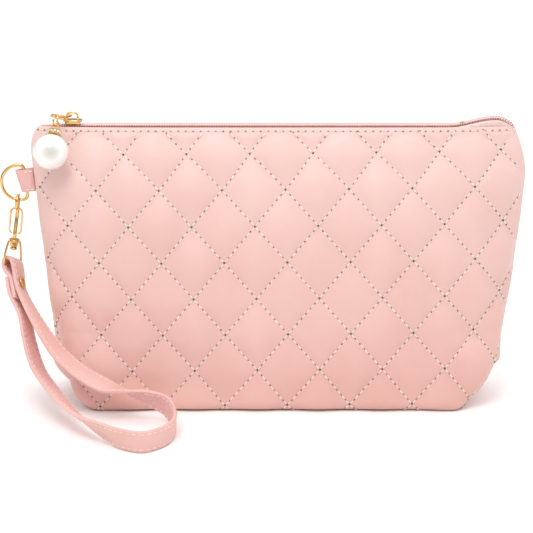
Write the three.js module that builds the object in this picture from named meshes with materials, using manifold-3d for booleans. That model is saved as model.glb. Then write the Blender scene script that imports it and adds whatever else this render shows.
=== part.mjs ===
// A quilted, box-bottomed make-up bag with a coil zip, a pearl zip charm and a wristlet strap.
// Millimetres. +X runs along the zip to the right, the front face looks along -Y, +Z is up.
// The origin is the middle of the flat base, on the surface that the bag stands on.
import * as THREE from 'three';
import Module from 'manifold-3d';
import { mergeVertices } from 'three/addons/utils/BufferGeometryUtils.js';

const wasm = await Module();
wasm.setup();

// ---- driving dimensions -------------------------------------------------------------------
const GAP = 0.3;                 // space left between pieces that touch in the real bag
const BASE_HALF_LENGTH = 90;     // base corner to base corner, halved
const SEAM_HALF_WIDTH = 107;     // half width at the side seams, projected down to the table
const SIDE_FLARE = 0.1;          // how much the half width grows per millimetre of height
const BOX_HEIGHT = 21;           // height of the boxed corner's cross seam
const SHOULDER_HEIGHT = 122;     // above this the side seams round in towards the zip
const SHOULDER_ROUNDING = 5;
const BASE_HALF_DEPTH = 28;
const FACE_LEAN = 0.077;         // how much the half depth shrinks per millimetre of height
const PINCH_HEIGHT = 84;         // above this the faces curve in towards the zip
const PINCH_DEPTH = 11.5;
const PINCH_SPAN = 52;
const EDGE_RADIUS = 5;           // rounding where a face turns under into the base
const PANEL_TOP = 134.2;
const SIDE_SQUARENESS = 6;       // higher keeps the faces flat further out to the side seams
const SIDE_ROUNDNESS = 0.48;     // lower makes the side seams blunter
const CORNER_SQUARENESS = 18;    // the same two numbers for the box corners at the base
const CORNER_ROUNDNESS = 0.32;
const CORNER_HEIGHT = 38;        // height at which the box corners have faded out

const LEATHER = 1.2;
const WADDING = 2.5;
const LINING = 0.6;
const WADDING_TOP = 128;
const LINING_TOP = 131;

const TAPE_Z = 135.6;            // middle of the flat part of the zip tape
const TAPE_FOOT = 132.6;         // lower edge of the tape, tucked behind the panel
const TAPE_THICK = 0.6;
const COIL_HALF_WIDTH = 0.85;
const COIL_CENTRE_Y = 1.45;
const COIL_Z = 136.75;
const COIL_HALF_HEIGHT = 0.55;
const ZIP_LEFT = -107;
const ZIP_RIGHT = 106;
const HUMP_START = 90;           // the closed end of the zip lifts over the end of its seam
const HUMP_HEIGHT = 4;

const SLIDER_X = -98.5;
const SLIDER_LENGTH = 9.2;
const SLIDER_HALF_WIDTH = 3.0;
const PLATE_THICK = 0.9;
const SLIDER_TOP = 138.6;
const SLIDER_BOTTOM = 133.1;

const STRAP_WIDTH = 10.5;
const STRAP_THICK = 1.8;
const PEARL_RADIUS = 8.4;

const PINK = 0xefc3bb;
const PINK_DARK = 0xdfaaa4;
const LINING_PINK = 0xd9a9a6;
const CREAM = 0xf3e9df;
const GOLD = 0xd9ab52;
const PEARL_WHITE = 0xf2f0e8;

const leather = (colour = PINK) => new THREE.MeshStandardMaterial({ color: colour, roughness: 0.55, metalness: 0 });
const cloth = (colour = LINING_PINK) => new THREE.MeshStandardMaterial({ color: colour, roughness: 0.9, metalness: 0 });
const metal = () => new THREE.MeshStandardMaterial({ color: GOLD, roughness: 0.25, metalness: 1 });
const pearlCoat = () => new THREE.MeshStandardMaterial({ color: PEARL_WHITE, roughness: 0.2, metalness: 0 });

const v = (x, y, z) => new THREE.Vector3(x, y, z);

// ---- small geometry tools -----------------------------------------------------------------

function solid(points, triangles) {
  const geometry = new THREE.BufferGeometry();
  const flat = points.flatMap((p) => [p.x, p.y, p.z]);
  geometry.setAttribute('position', new THREE.Float32BufferAttribute(flat, 3));
  const volume = triangles.reduce((sum, [a, b, c]) =>
    sum + points[a].dot(points[b].clone().cross(points[c])), 0);
  const outward = volume < 0 ? triangles.map(([a, b, c]) => [a, c, b]) : triangles;
  geometry.setIndex(outward.flat());
  return geometry;
}

function quad(a, b, c, d) {
  return [[a, b, c], [a, c, d]];
}

// Joins a row of equal rings of points, each convex, into one solid. A closed row has no ends.
function loft(rings, closed = false) {
  const sides = rings[0].length;
  const points = rings.flat();
  const triangles = [];
  const spans = closed ? rings.length : rings.length - 1;
  for (let i = 0; i < spans; i += 1) {
    const here = i * sides;
    const next = ((i + 1) % rings.length) * sides;
    for (let j = 0; j < sides; j += 1) {
      const k = (j + 1) % sides;
      triangles.push(...quad(here + j, here + k, next + k, next + j));
    }
  }
  if (!closed) {
    const last = (rings.length - 1) * sides;
    for (let j = 1; j < sides - 1; j += 1) {
      triangles.push([0, j + 1, j]);
      triangles.push([last, last + j, last + j + 1]);
    }
  }
  return solid(points, triangles);
}

// A sheet with thickness: the space between two grids of points that share a layout.
function shell(outer, inner) {
  const rows = outer.length;
  const columns = outer[0].length;
  const points = [...outer.flat(), ...inner.flat()];
  const offset = rows * columns;
  const at = (i, j) => i * columns + j;
  const triangles = [];
  for (let i = 0; i < rows - 1; i += 1) {
    for (let j = 0; j < columns - 1; j += 1) {
      const [a, b, c, d] = [at(i, j), at(i, j + 1), at(i + 1, j + 1), at(i + 1, j)];
      triangles.push(...quad(a, b, c, d));
      triangles.push(...quad(offset + d, offset + c, offset + b, offset + a));
    }
  }
  const edge = [];
  for (let j = 0; j < columns - 1; j += 1) edge.push([at(0, j), at(0, j + 1)]);
  for (let i = 0; i < rows - 1; i += 1) edge.push([at(i, columns - 1), at(i + 1, columns - 1)]);
  for (let j = columns - 1; j > 0; j -= 1) edge.push([at(rows - 1, j), at(rows - 1, j - 1)]);
  for (let i = rows - 1; i > 0; i -= 1) edge.push([at(i, 0), at(i - 1, 0)]);
  edge.forEach(([a, b]) => triangles.push(...quad(b, a, offset + a, offset + b)));
  return solid(points, triangles);
}

// Rings of a round wire along points that lie in one plane with the given normal.
function wire(points, radius, normal, closed = false, sides = 8) {
  const count = points.length;
  const rings = points.map((point, i) => {
    const before = points[closed ? (i - 1 + count) % count : Math.max(i - 1, 0)];
    const after = points[closed ? (i + 1) % count : Math.min(i + 1, count - 1)];
    const along = after.clone().sub(before).normalize();
    const side = along.clone().cross(normal).normalize();
    const up = side.clone().cross(along).normalize();
    return Array.from({ length: sides }, (_, j) => {
      const angle = (2 * Math.PI * j) / sides;
      return point.clone().addScaledVector(side, radius * Math.cos(angle)).addScaledVector(up, radius * Math.sin(angle));
    });
  });
  return loft(rings, closed);
}

// A round ring in the plane of the two given directions.
function ring(centre, a, b, radius, wireRadius, steps = 20, sides = 8) {
  const normal = a.clone().cross(b).normalize();
  const points = Array.from({ length: steps }, (_, i) => {
    const angle = (2 * Math.PI * i) / steps;
    return centre.clone().addScaledVector(a, radius * Math.cos(angle)).addScaledVector(b, radius * Math.sin(angle));
  });
  return wire(points, wireRadius, normal, true, sides);
}

// A turned shape: radius and height pairs spun about a line.
function turned(profile, centre, axis, segments = 16) {
  const geometry = new THREE.LatheGeometry(profile.map(([r, h]) => new THREE.Vector2(r, h)), segments);
  const spin = new THREE.Quaternion().setFromUnitVectors(v(0, 1, 0), axis.clone().normalize());
  geometry.applyQuaternion(spin);
  geometry.translate(centre.x, centre.y, centre.z);
  return geometry;
}

function box(width, depth, height, x, y, z) {
  const geometry = new THREE.BoxGeometry(width, depth, height);
  geometry.translate(x, y, z);
  return geometry;
}

function toManifold(geometry) {
  const bare = geometry.clone();
  bare.deleteAttribute('normal');
  bare.deleteAttribute('uv');
  const merged = mergeVertices(bare, 1e-4);
  return new wasm.Manifold(new wasm.Mesh({
    numProp: 3,
    vertProperties: new Float32Array(merged.attributes.position.array),
    triVerts: new Uint32Array(merged.index.array),
  }));
}

function fromManifold(manifold) {
  const mesh = manifold.getMesh();
  const geometry = new THREE.BufferGeometry();
  geometry.setAttribute('position', new THREE.BufferAttribute(mesh.vertProperties.slice(), 3));
  geometry.setIndex(Array.from(mesh.triVerts));
  return geometry;
}

function joined(...geometries) {
  return fromManifold(geometries.map(toManifold).reduce((sum, next) => sum.add(next)));
}

function piece(name, geometry, material) {
  if (!geometry.attributes.normal) geometry.computeVertexNormals();
  const mesh = new THREE.Mesh(geometry, material);
  mesh.name = name;
  return mesh;
}

// ---- the body: one family of nested surfaces ------------------------------------------------

function halfWidth(z) {
  const above = SEAM_HALF_WIDTH + SIDE_FLARE * z;
  const atBox = SEAM_HALF_WIDTH + SIDE_FLARE * BOX_HEIGHT;
  if (z < BOX_HEIGHT) return BASE_HALF_LENGTH + (atBox - BASE_HALF_LENGTH) * (z / BOX_HEIGHT);
  const rounding = Math.max(0, (z - SHOULDER_HEIGHT) / 12);
  return above - SHOULDER_ROUNDING * rounding * rounding;
}

// How fast the end faces lean outwards below the boxed corner's seam.
const END_SLOPE = (halfWidth(BOX_HEIGHT) - BASE_HALF_LENGTH) / BOX_HEIGHT;

function halfDepth(z) {
  const pinch = Math.max(0, (z - PINCH_HEIGHT) / PINCH_SPAN);
  return BASE_HALF_DEPTH - FACE_LEAN * z - PINCH_DEPTH * pinch * pinch;
}

// Half width, half depth and height at each level, for a surface set in by the given distance.
function levels(inset, top) {
  const turns = [0, 30, 60, 90].map((degrees) => {
    const angle = THREE.MathUtils.degToRad(degrees);
    const radius = EDGE_RADIUS - inset;
    const z = EDGE_RADIUS - radius * Math.cos(angle);
    const sideInset = inset * (1 + END_SLOPE * Math.cos(angle));
    return { z, w: halfWidth(z) - sideInset, d: halfDepth(z) - EDGE_RADIUS + radius * Math.sin(angle) };
  });
  const heights = [12, 16, BOX_HEIGHT, 26, 31, CORNER_HEIGHT, 58, 78, 94, 106, 116, 122, 125].concat(top);
  return turns.concat(heights.map((z) => ({ z, w: halfWidth(z) - inset, d: halfDepth(z) - inset })));
}

// How far forward the face stands at a point across its width, as a share of its depth.
function bulge(share, z) {
  const above = Math.max(0, z - EDGE_RADIUS) / (CORNER_HEIGHT - EDGE_RADIUS);
  const corner = Math.pow(Math.max(0, 1 - above), 1.5);
  const squareness = THREE.MathUtils.lerp(SIDE_SQUARENESS, CORNER_SQUARENESS, corner);
  const roundness = THREE.MathUtils.lerp(SIDE_ROUNDNESS, CORNER_ROUNDNESS, corner);
  return Math.pow(Math.max(0, 1 - Math.pow(Math.abs(share), squareness)), roundness);
}

const COLUMNS = 20;

function wallGrid(front, inset, top) {
  return levels(inset, top).map(({ z, w, d }) => Array.from({ length: COLUMNS + 1 }, (_, j) => {
    const share = Math.sin(Math.PI * (j / COLUMNS - 0.5));
    return v(w * share, front * (GAP / 2 + d * bulge(share, z)), z);
  }));
}

// One wall layer, front (-1) or back (+1), between two insets.
function wall(front, outside, inside, top) {
  return shell(wallGrid(front, outside, top), wallGrid(front, inside, top));
}

// The flat part of one layer of the base.
function basePlate(low, high) {
  const { w, d } = levels(high, [])[0];
  const half = Array.from({ length: COLUMNS + 1 }, (_, j) => {
    const share = Math.sin(Math.PI * (j / COLUMNS - 0.5));
    return [share * (w - GAP), (GAP / 2 + d * bulge(share, 0)) - GAP];
  }).filter(([, depth]) => depth > 0.5);
  const outline = [...half.map(([x, y]) => [x, -y]), ...half.map(([x, y]) => [x, y]).reverse()];
  return loft([outline.map(([x, y]) => v(x, y, low)), outline.map(([x, y]) => v(x, y, high))]);
}

function bagBody() {
  const layers = [
    ['panel', 0, LEATHER, [WADDING_TOP, LINING_TOP, PANEL_TOP], leather()],
    ['wadding', LEATHER + GAP, LEATHER + GAP + WADDING, [WADDING_TOP], cloth(CREAM)],
    ['lining', LEATHER + WADDING + 3 * GAP, LEATHER + WADDING + 3 * GAP + LINING, [WADDING_TOP, LINING_TOP], cloth()],
  ];
  return layers.flatMap(([name, outside, inside, top, material]) => [
    piece(`front_${name}`, wall(-1, outside, inside, top), material),
    piece(`back_${name}`, wall(1, outside, inside, top), material),
    piece(`base_${name}`, basePlate(outside, inside), material),
  ]);
}

// ---- the zip ---------------------------------------------------------------------------------

function zipLift(x) {
  const share = THREE.MathUtils.clamp((x - HUMP_START) / (ZIP_RIGHT - HUMP_START), 0, 1);
  return HUMP_HEIGHT * Math.sin(Math.PI * share * 0.8);
}

function zipStations() {
  const straight = Array.from({ length: 15 }, (_, i) => THREE.MathUtils.lerp(ZIP_LEFT, HUMP_START, i / 14));
  const humped = Array.from({ length: 5 }, (_, i) => THREE.MathUtils.lerp(HUMP_START, ZIP_RIGHT, (i + 1) / 5));
  return [...straight, ...humped];
}

// Where the tape goes down behind the panel's top edge.
function tuckY(x) {
  const inside = halfDepth(PANEL_TOP) * bulge(x / halfWidth(PANEL_TOP), PANEL_TOP);
  return inside - LEATHER - GAP;
}

function zipTape(front) {
  const inner = COIL_CENTRE_Y - COIL_HALF_WIDTH;
  const half = TAPE_THICK / 2;
  const rows = zipStations().map((x) => {
    const lift = zipLift(x);
    const outer = Math.max(tuckY(x), inner + 1.6);
    const drop = TAPE_FOOT + lift * 0.5;
    return [
      v(x, front * inner, TAPE_Z + lift + half),
      v(x, front * (outer - 0.5), TAPE_Z + lift + half),
      v(x, front * outer, TAPE_Z - 0.7 + lift),
      v(x, front * outer, drop),
    ];
  });
  const under = zipStations().map((x) => {
    const lift = zipLift(x);
    const outer = Math.max(tuckY(x), inner + 1.6);
    const drop = TAPE_FOOT + lift * 0.5;
    return [
      v(x, front * inner, TAPE_Z + lift - half),
      v(x, front * (outer - 0.9), TAPE_Z + lift - half),
      v(x, front * (outer - TAPE_THICK), TAPE_Z - 0.9 + lift),
      v(x, front * (outer - TAPE_THICK), drop),
    ];
  });
  return shell(rows, under);
}

// One row of the coil. The teeth are too fine to model as solids, so each row is one rod.
function zipCoil(front) {
  const rings = zipStations().map((x) => Array.from({ length: 6 }, (_, j) => {
    const angle = (Math.PI * j) / 3;
    return v(x, front * COIL_CENTRE_Y + COIL_HALF_WIDTH * Math.cos(angle),
      COIL_Z + zipLift(x) + COIL_HALF_HEIGHT * Math.sin(angle));
  }));
  return loft(rings);
}

function sliderBody() {
  const length = SLIDER_LENGTH;
  const plate = (z, share) => box(length * share, 2 * SLIDER_HALF_WIDTH * share, PLATE_THICK, SLIDER_X, 0, z);
  const post = box(3, 0.6, SLIDER_TOP - SLIDER_BOTTOM, SLIDER_X + 2, 0, (SLIDER_TOP + SLIDER_BOTTOM) / 2);
  const rim = (side) => box(length * 0.8, 0.5, 1.1, SLIDER_X, side * (SLIDER_HALF_WIDTH - 0.25),
    SLIDER_TOP - PLATE_THICK - 0.4);
  return joined(plate(SLIDER_TOP - PLATE_THICK / 2, 1), plate(SLIDER_BOTTOM + PLATE_THICK / 2, 0.85),
    post, rim(-1), rim(1));
}

const CROWN_X = -98.8;
const CROWN_HALF = 2.6;
const CROWN_WIRE = 0.45;
const CROWN_TOP = 142.0;

function sliderCrown() {
  const foot = SLIDER_TOP + GAP;
  const spring = CROWN_TOP - CROWN_HALF * 0.55;
  const points = [v(CROWN_X - CROWN_HALF, 0, foot)];
  for (let i = 0; i <= 8; i += 1) {
    const angle = Math.PI - (Math.PI * i) / 8;
    points.push(v(CROWN_X + CROWN_HALF * Math.cos(angle), 0, spring + (CROWN_TOP - spring) * Math.sin(angle)));
  }
  points.push(v(CROWN_X + CROWN_HALF, 0, foot));
  return wire(points, CROWN_WIRE, v(0, 1, 0));
}

function zip() {
  const topStop = (front) => box(1.6, 1.6, 0.8, ZIP_LEFT + 1, front * COIL_CENTRE_Y, COIL_Z + COIL_HALF_HEIGHT + 0.7);
  const bottomStop = box(2.4, 4.6, 0.8, HUMP_START - 1.5, 0, COIL_Z + COIL_HALF_HEIGHT + 0.7);
  return [
    piece('zip_tape_front', zipTape(-1), cloth(PINK_DARK)),
    piece('zip_tape_back', zipTape(1), cloth(PINK_DARK)),
    piece('zip_coil_front', zipCoil(-1), leather(PINK_DARK)),
    piece('zip_coil_back', zipCoil(1), leather(PINK_DARK)),
    piece('zip_top_stop_front', topStop(-1), metal()),
    piece('zip_top_stop_back', topStop(1), metal()),
    piece('zip_bottom_stop', bottomStop, metal()),
    piece('slider_body', sliderBody(), metal()),
    piece('slider_crown', sliderCrown(), metal()),
  ];
}

// ---- the pearl charm ---------------------------------------------------------------------------

const RING_1 = { centre: v(-102.0, -1.7, 140.3), radius: 3.0, wire: 0.5 };
const RING_2 = { centre: v(-104.9, -5.7, 140.9), radius: 3.3, wire: 0.45 };
const RING_3 = { centre: v(-105.9, -9.7, 139.6), radius: 2.5, wire: 0.4 };
const EYE = { centre: v(-105.8, -11.6, 136.9), radius: 1.5, wire: 0.4 };
const DROP = v(-0.1, -0.68, -0.72).normalize();     // from the eye down through the pearl
const RONDELLE_RADIUS = 3.9;
const RONDELLE_HALF = 1.4;

function tilted(along, degrees) {
  const across = v(0, 0, 1).cross(along).normalize();
  const up = along.clone().cross(across).normalize();
  const angle = THREE.MathUtils.degToRad(degrees);
  return across.multiplyScalar(Math.cos(angle)).addScaledVector(up, Math.sin(angle));
}

function pearlCharm() {
  const toSecond = RING_2.centre.clone().sub(RING_1.centre).normalize();
  const outward = RING_3.centre.clone().sub(RING_2.centre).normalize();
  const eyeToRondelle = EYE.radius + EYE.wire + GAP + RONDELLE_HALF;
  const eyeToPearl = eyeToRondelle + RONDELLE_HALF + GAP + PEARL_RADIUS;
  const rondelleCentre = EYE.centre.clone().addScaledVector(DROP, eyeToRondelle);
  const pearlCentre = EYE.centre.clone().addScaledVector(DROP, eyeToPearl);
  const rim = RONDELLE_HALF;
  const rondelle = [[0, -rim], [RONDELLE_RADIUS - 0.5, -rim], [RONDELLE_RADIUS, -rim * 0.4],
    [RONDELLE_RADIUS, rim * 0.4], [RONDELLE_RADIUS - 0.5, rim], [0, rim]];
  const ball = new THREE.SphereGeometry(PEARL_RADIUS, 28, 18);
  ball.translate(pearlCentre.x, pearlCentre.y, pearlCentre.z);
  const side = v(1, 0, 0);
  return [
    piece('charm_ring_1', ring(RING_1.centre, toSecond, tilted(toSecond, 18), RING_1.radius, RING_1.wire), metal()),
    piece('charm_ring_2', ring(RING_2.centre, toSecond, tilted(toSecond, -12), RING_2.radius, RING_2.wire), metal()),
    piece('charm_ring_3', ring(RING_3.centre, outward, v(0, 0, 1), RING_3.radius, RING_3.wire), metal()),
    piece('charm_eye', ring(EYE.centre, DROP, side, EYE.radius, EYE.wire, 16), metal()),
    piece('charm_rondelle', turned(rondelle, rondelleCentre, DROP, 20), metal()),
    piece('charm_pearl', ball, pearlCoat()),
  ];
}

// ---- side tab, D-ring and swivel hook ------------------------------------------------------------

const BAR_CENTRE = v(-122.3, 0, 108);
const BAR_UP = v(-0.105, 0, 0.995).normalize();
const BAR_OUT = v(-BAR_UP.z, 0, BAR_UP.x);
const D_WIRE = 0.8;
const D_BAR_HALF = 6.6;
const D_CORNER = 2;
const D_HALF_HEIGHT = 8.6;
const D_CENTRE_OUT = 3.2;
const D_REACH = 11.6;

function dRing() {
  const at = (out, up) => BAR_CENTRE.clone().addScaledVector(BAR_OUT, out).addScaledVector(BAR_UP, up);
  const corner = (sign, degrees) => {
    const angle = THREE.MathUtils.degToRad(degrees);
    return at(D_CORNER * (1 - Math.cos(angle)), sign * (D_BAR_HALF + D_CORNER * Math.sin(angle)));
  };
  const points = [at(0, 0), corner(1, 0), corner(1, 30), corner(1, 60)];
  const reach = D_REACH - D_CENTRE_OUT;
  for (let i = 0; i <= 18; i += 1) {
    const angle = Math.PI / 2 - (Math.PI * i) / 18;
    points.push(at(D_CENTRE_OUT + reach * Math.cos(angle), D_HALF_HEIGHT * Math.sin(angle)));
  }
  points.push(corner(-1, 60), corner(-1, 30), corner(-1, 0));
  return wire(points, D_WIRE, v(0, 1, 0), true);
}

function sideTab() {
  const inner = D_WIRE + GAP;
  const outer = inner + LEATHER;
  const reach = 4.6;
  const shape = new THREE.Shape();
  shape.moveTo(-reach, -outer);
  shape.absarc(0, 0, outer, -Math.PI / 2, Math.PI / 2, false);
  shape.lineTo(-reach, outer);
  shape.lineTo(-reach, inner);
  shape.absarc(0, 0, inner, Math.PI / 2, -Math.PI / 2, true);
  shape.lineTo(-reach, -inner);
  const width = 11;
  const geometry = new THREE.ExtrudeGeometry(shape, { depth: width, bevelEnabled: false, curveSegments: 10 });
  geometry.translate(0, 0, -width / 2);
  const frame = new THREE.Matrix4().makeBasis(BAR_OUT, BAR_UP.clone().cross(BAR_OUT), BAR_UP);
  const centre = BAR_CENTRE.clone().addScaledVector(BAR_UP, 0.8);
  frame.setPosition(centre);
  geometry.applyMatrix4(frame);
  return geometry;
}

const HANG = v(0.117, 0, 0.993).normalize();          // the hook's long axis, pointing up
const D_BOTTOM = v(-126.35, 0, 99.05);                // where the hook rests on the D-ring
const CROOK_HEIGHT = 21.6;                            // collar centre to that point
const COLLAR = D_BOTTOM.clone().addScaledVector(HANG, -CROOK_HEIGHT);
const ACROSS = v(HANG.z, 0, -HANG.x);
const hookPoint = (across, y, up) => COLLAR.clone().addScaledVector(HANG, up).addScaledVector(ACROSS, across)
  .add(v(0, y, 0));
const HOOK_WIRE = 0.95;
const STEM_Y = 2.6;

function hookBody() {
  const stem = [[0, -3.0], [0, 2.6], [0.1, 5], [1.3, 8], [2.3, 11], [STEM_Y, 14], [STEM_Y, 21]];
  const points = stem.map(([y, up]) => hookPoint(0, y, up));
  for (let i = 1; i <= 8; i += 1) {
    const angle = (Math.PI * i) / 8;
    points.push(hookPoint(0, STEM_Y * Math.cos(angle), 21 + STEM_Y * Math.sin(angle)));
  }
  points.push(hookPoint(0, -STEM_Y - 0.1, 17.6));
  const head = turned([[0, -3.6], [1.7, -3.6], [1.7, -2.3], [0, -2.3]], COLLAR, HANG, 12);
  return joined(wire(points, HOOK_WIRE, ACROSS), head);
}

const GATE_HALF = 2.8;
const GATE_PIVOT_UP = 5.2;

function hookGate() {
  const lean = (up) => 0.1 - 0.085 * (up - GATE_PIVOT_UP);
  const leg = (side) => [[1.35, 5.0], [2.2, 5.1], [GATE_HALF, 6], [GATE_HALF, 10], [GATE_HALF, 15]]
    .map(([across, up]) => hookPoint(side * across, lean(up), up));
  const arch = Array.from({ length: 7 }, (_, i) => {
    const angle = (Math.PI * (i + 1)) / 8;
    return hookPoint(GATE_HALF * Math.cos(angle), lean(15 + GATE_HALF * Math.sin(angle)), 15 + GATE_HALF * Math.sin(angle));
  });
  const points = [...leg(1), ...arch, ...leg(-1).reverse()];
  return wire(points, 0.48, v(0, 1, 0));
}

function swivelCollar() {
  const [bore, outside, half] = [HOOK_WIRE + GAP, 2.4, 1.9];
  const profile = [[bore, -half], [outside - 0.4, -half], [outside, -half + 0.4], [outside, half - 0.4],
    [outside - 0.4, half], [bore, half], [bore, -half]];
  return turned(profile, COLLAR, HANG, 20);
}

// The strap's bail: a wire loop that hangs from the collar, turned about the hook's axis.
const BAR_SIDE = v(0.778, 0.62, -0.108);
const BAIL_SIDE = BAR_SIDE.clone().addScaledVector(HANG, -BAR_SIDE.dot(HANG)).normalize();
const BAIL_DROP = 9.6;
const BAIL_WIRE = 0.55;
const BAIL_BAR = COLLAR.clone().addScaledVector(HANG, -BAIL_DROP);

function bailRing() {
  const at = (side, up) => COLLAR.clone().addScaledVector(BAIL_SIDE, side).addScaledVector(HANG, up);
  const half = [[2.4 + BAIL_WIRE + GAP, 0.1], [4.4, -0.9], [5.6, -3], [6.3, -5.6], [6.45, -8.2], [6.1, -9.2], [5.2, -BAIL_DROP]];
  const points = [...half.map(([side, up]) => at(side, up)), ...half.map(([side, up]) => at(-side, up)).reverse()];
  const normal = BAIL_SIDE.clone().cross(HANG).normalize();
  return wire(points, BAIL_WIRE, normal);
}

function hardware() {
  return [
    piece('side_tab', sideTab(), leather()),
    piece('d_ring', dRing(), metal()),
    piece('hook_body', hookBody(), metal()),
    piece('hook_gate', hookGate(), metal()),
    piece('swivel_collar', swivelCollar(), metal()),
    piece('bail_ring', bailRing(), metal()),
  ];
}

// ---- the wristlet strap ------------------------------------------------------------------------

// One band: its first end is caught in the rivet, it makes the hand loop, climbs back past the
// rivet, folds over the bail's bar and ends as a short tail behind the rivet.
const LAYER = STRAP_THICK + GAP;
const EXIT = v(-0.2, 0.66, 0.72);
const STRAP_UP = EXIT.clone().addScaledVector(BAIL_SIDE, -EXIT.dot(BAIL_SIDE)).normalize();
const STRAP_FACE = BAIL_SIDE.clone().cross(STRAP_UP).normalize();
const RIVET = BAIL_BAR.clone().addScaledVector(STRAP_UP, -11);

function strapStations() {
  const near = (down, layer, side = 0) => RIVET.clone().addScaledVector(STRAP_UP, -down)
    .addScaledVector(STRAP_FACE, layer * LAYER).addScaledVector(BAIL_SIDE, side);
  const loop = [
    // middle of the band                 direction of its width
    [v(-123.5, -13.5, 44.5), v(0.85, 0.05, 0.1)],
    [v(-120.3, -20, 33), v(0.85, -0.1, 0.25)],
    [v(-115.6, -28.5, 22.5), v(0.75, -0.1, 0.45)],
    [v(-108.5, -38, 16), v(0.6, 0.1, 0.6)],
    [v(-100.5, -49, 11), v(0.5, 0.15, 0.7)],
    [v(-92, -60, 7.6), v(0.3, 0.1, 0.9)],
    [v(-81.5, -71, 5.9), v(0.05, 0, 1)],
    [v(-71.5, -80, 5.35), v(0, 0, 1)],
    [v(-62, -83.6, 5.3), v(0, 0, 1)],
    [v(-53.5, -77, 5.3), v(0, 0, 1)],
    [v(-49, -66, 5.3), v(0, 0, 1)],
    [v(-49.5, -55, 5.6), v(0, -0.15, 1)],
    [v(-54.5, -46.5, 7.5), v(0.05, -0.5, 0.85)],
    [v(-62, -43, 9.5), v(0, -0.85, 0.5)],
    [v(-72, -41.5, 11.5), v(0.1, -0.91, 0.4)],
    [v(-83, -39, 15), v(0.41, -0.72, 0.55)],
    [v(-94, -34.5, 21.5), v(0.46, -0.6, 0.66)],
    [v(-103.5, -29, 29.5), v(0.5, -0.55, 0.6)],
    [v(-111, -23, 38), v(0.65, -0.4, 0.4)],
  ];
  const bar = (degrees) => {
    const angle = THREE.MathUtils.degToRad(degrees);
    const radius = BAIL_WIRE + GAP + STRAP_THICK / 2;
    return BAIL_BAR.clone().addScaledVector(STRAP_FACE, radius * Math.cos(angle))
      .addScaledVector(STRAP_UP, radius * Math.sin(angle));
  };
  return [
    [near(-3.2, 0), BAIL_SIDE], [near(0, 0), BAIL_SIDE], [near(4, 0), BAIL_SIDE],
    ...loop,
    [near(5, 1.3, 1.2), BAIL_SIDE], [near(0, 1), BAIL_SIDE], [near(-5, 0.95), BAIL_SIDE],
    [bar(0), BAIL_SIDE], [bar(60), BAIL_SIDE], [bar(120), BAIL_SIDE], [bar(180), BAIL_SIDE],
    [near(-5, -0.95), BAIL_SIDE], [near(0, -1), BAIL_SIDE], [near(5, -1.15), BAIL_SIDE], [near(8, -1.5), BAIL_SIDE],
  ];
}

function wristStrap() {
  const stations = strapStations();
  const path = new THREE.CatmullRomCurve3(stations.map(([point]) => point), false, 'centripetal');
  const steps = stations.length * 3 - 3;
  const rings = Array.from({ length: steps + 1 }, (_, i) => {
    const t = i / steps;
    const index = Math.min(Math.floor(t * (stations.length - 1)), stations.length - 2);
    const share = t * (stations.length - 1) - index;
    const point = path.getPoint(t);
    const along = path.getTangent(t);
    const wide = stations[index][1].clone().lerp(stations[index + 1][1], share);
    wide.addScaledVector(along, -wide.dot(along)).normalize();
    const thick = along.clone().cross(wide).normalize();
    const corner = (a, b) => point.clone().addScaledVector(wide, (a * STRAP_WIDTH) / 2)
      .addScaledVector(thick, (b * STRAP_THICK) / 2);
    return [corner(-1, -1), corner(1, -1), corner(1, 1), corner(-1, 1)];
  });
  const band = toManifold(loft(rings));
  const hole = toManifold(turned([[0, -8], [1.5, -8], [1.5, 8], [0, 8]], RIVET, STRAP_FACE, 12));
  return fromManifold(band.subtract(hole));
}

function strap() {
  const face = LAYER + STRAP_THICK / 2 + 2 * GAP;
  const cap = joined(
    turned([[0, face], [2.9, face], [2.9, face + 0.4], [1.6, face + 1.1], [0, face + 1.3]], RIVET, STRAP_FACE, 16),
    turned([[0, -0.8], [0.9, -0.8], [0.9, face + 0.3], [0, face + 0.3]], RIVET, STRAP_FACE, 12),
  );
  const back = joined(
    turned([[0, -face - 0.7], [2.7, -face - 0.7], [2.7, -face], [0, -face]], RIVET, STRAP_FACE, 16),
    turned([[0, -face - 0.1], [1.1, -face - 0.1], [1.1, -1.1], [0, -1.1]], RIVET, STRAP_FACE, 12),
  );
  return [
    piece('wrist_strap', wristStrap(), leather()),
    piece('rivet_cap', cap, metal()),
    piece('rivet_back', back, metal()),
  ];
}

const bag = new THREE.Group();
bag.name = 'makeup_bag';
bag.add(...bagBody(), ...zip(), ...pearlCharm(), ...hardware(), ...strap());

export default bag;
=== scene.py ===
"""Looks of a quilted make-up bag with a zip, a pearl charm and a wristlet strap.

Lengths in the helper functions are in millimetres, in the CAD frame: +X along the zip, the front
face towards -Y, +Z up, origin in the middle of the base. Meshes are made in metres.
"""
import math

import bpy
import numpy as np
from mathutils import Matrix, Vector


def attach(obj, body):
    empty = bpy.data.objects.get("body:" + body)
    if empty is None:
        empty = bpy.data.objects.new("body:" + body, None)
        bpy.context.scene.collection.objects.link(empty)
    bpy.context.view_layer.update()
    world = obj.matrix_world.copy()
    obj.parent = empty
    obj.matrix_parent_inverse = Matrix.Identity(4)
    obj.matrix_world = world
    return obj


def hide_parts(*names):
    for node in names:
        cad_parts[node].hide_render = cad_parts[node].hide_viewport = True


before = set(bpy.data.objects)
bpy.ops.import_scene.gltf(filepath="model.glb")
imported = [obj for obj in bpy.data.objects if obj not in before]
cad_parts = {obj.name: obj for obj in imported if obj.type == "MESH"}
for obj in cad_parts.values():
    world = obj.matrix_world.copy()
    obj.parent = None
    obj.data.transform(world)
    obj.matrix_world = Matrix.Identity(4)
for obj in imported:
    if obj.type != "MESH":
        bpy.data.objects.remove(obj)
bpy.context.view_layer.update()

MM = 0.001
RANDOM = np.random.default_rng(7)

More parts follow.
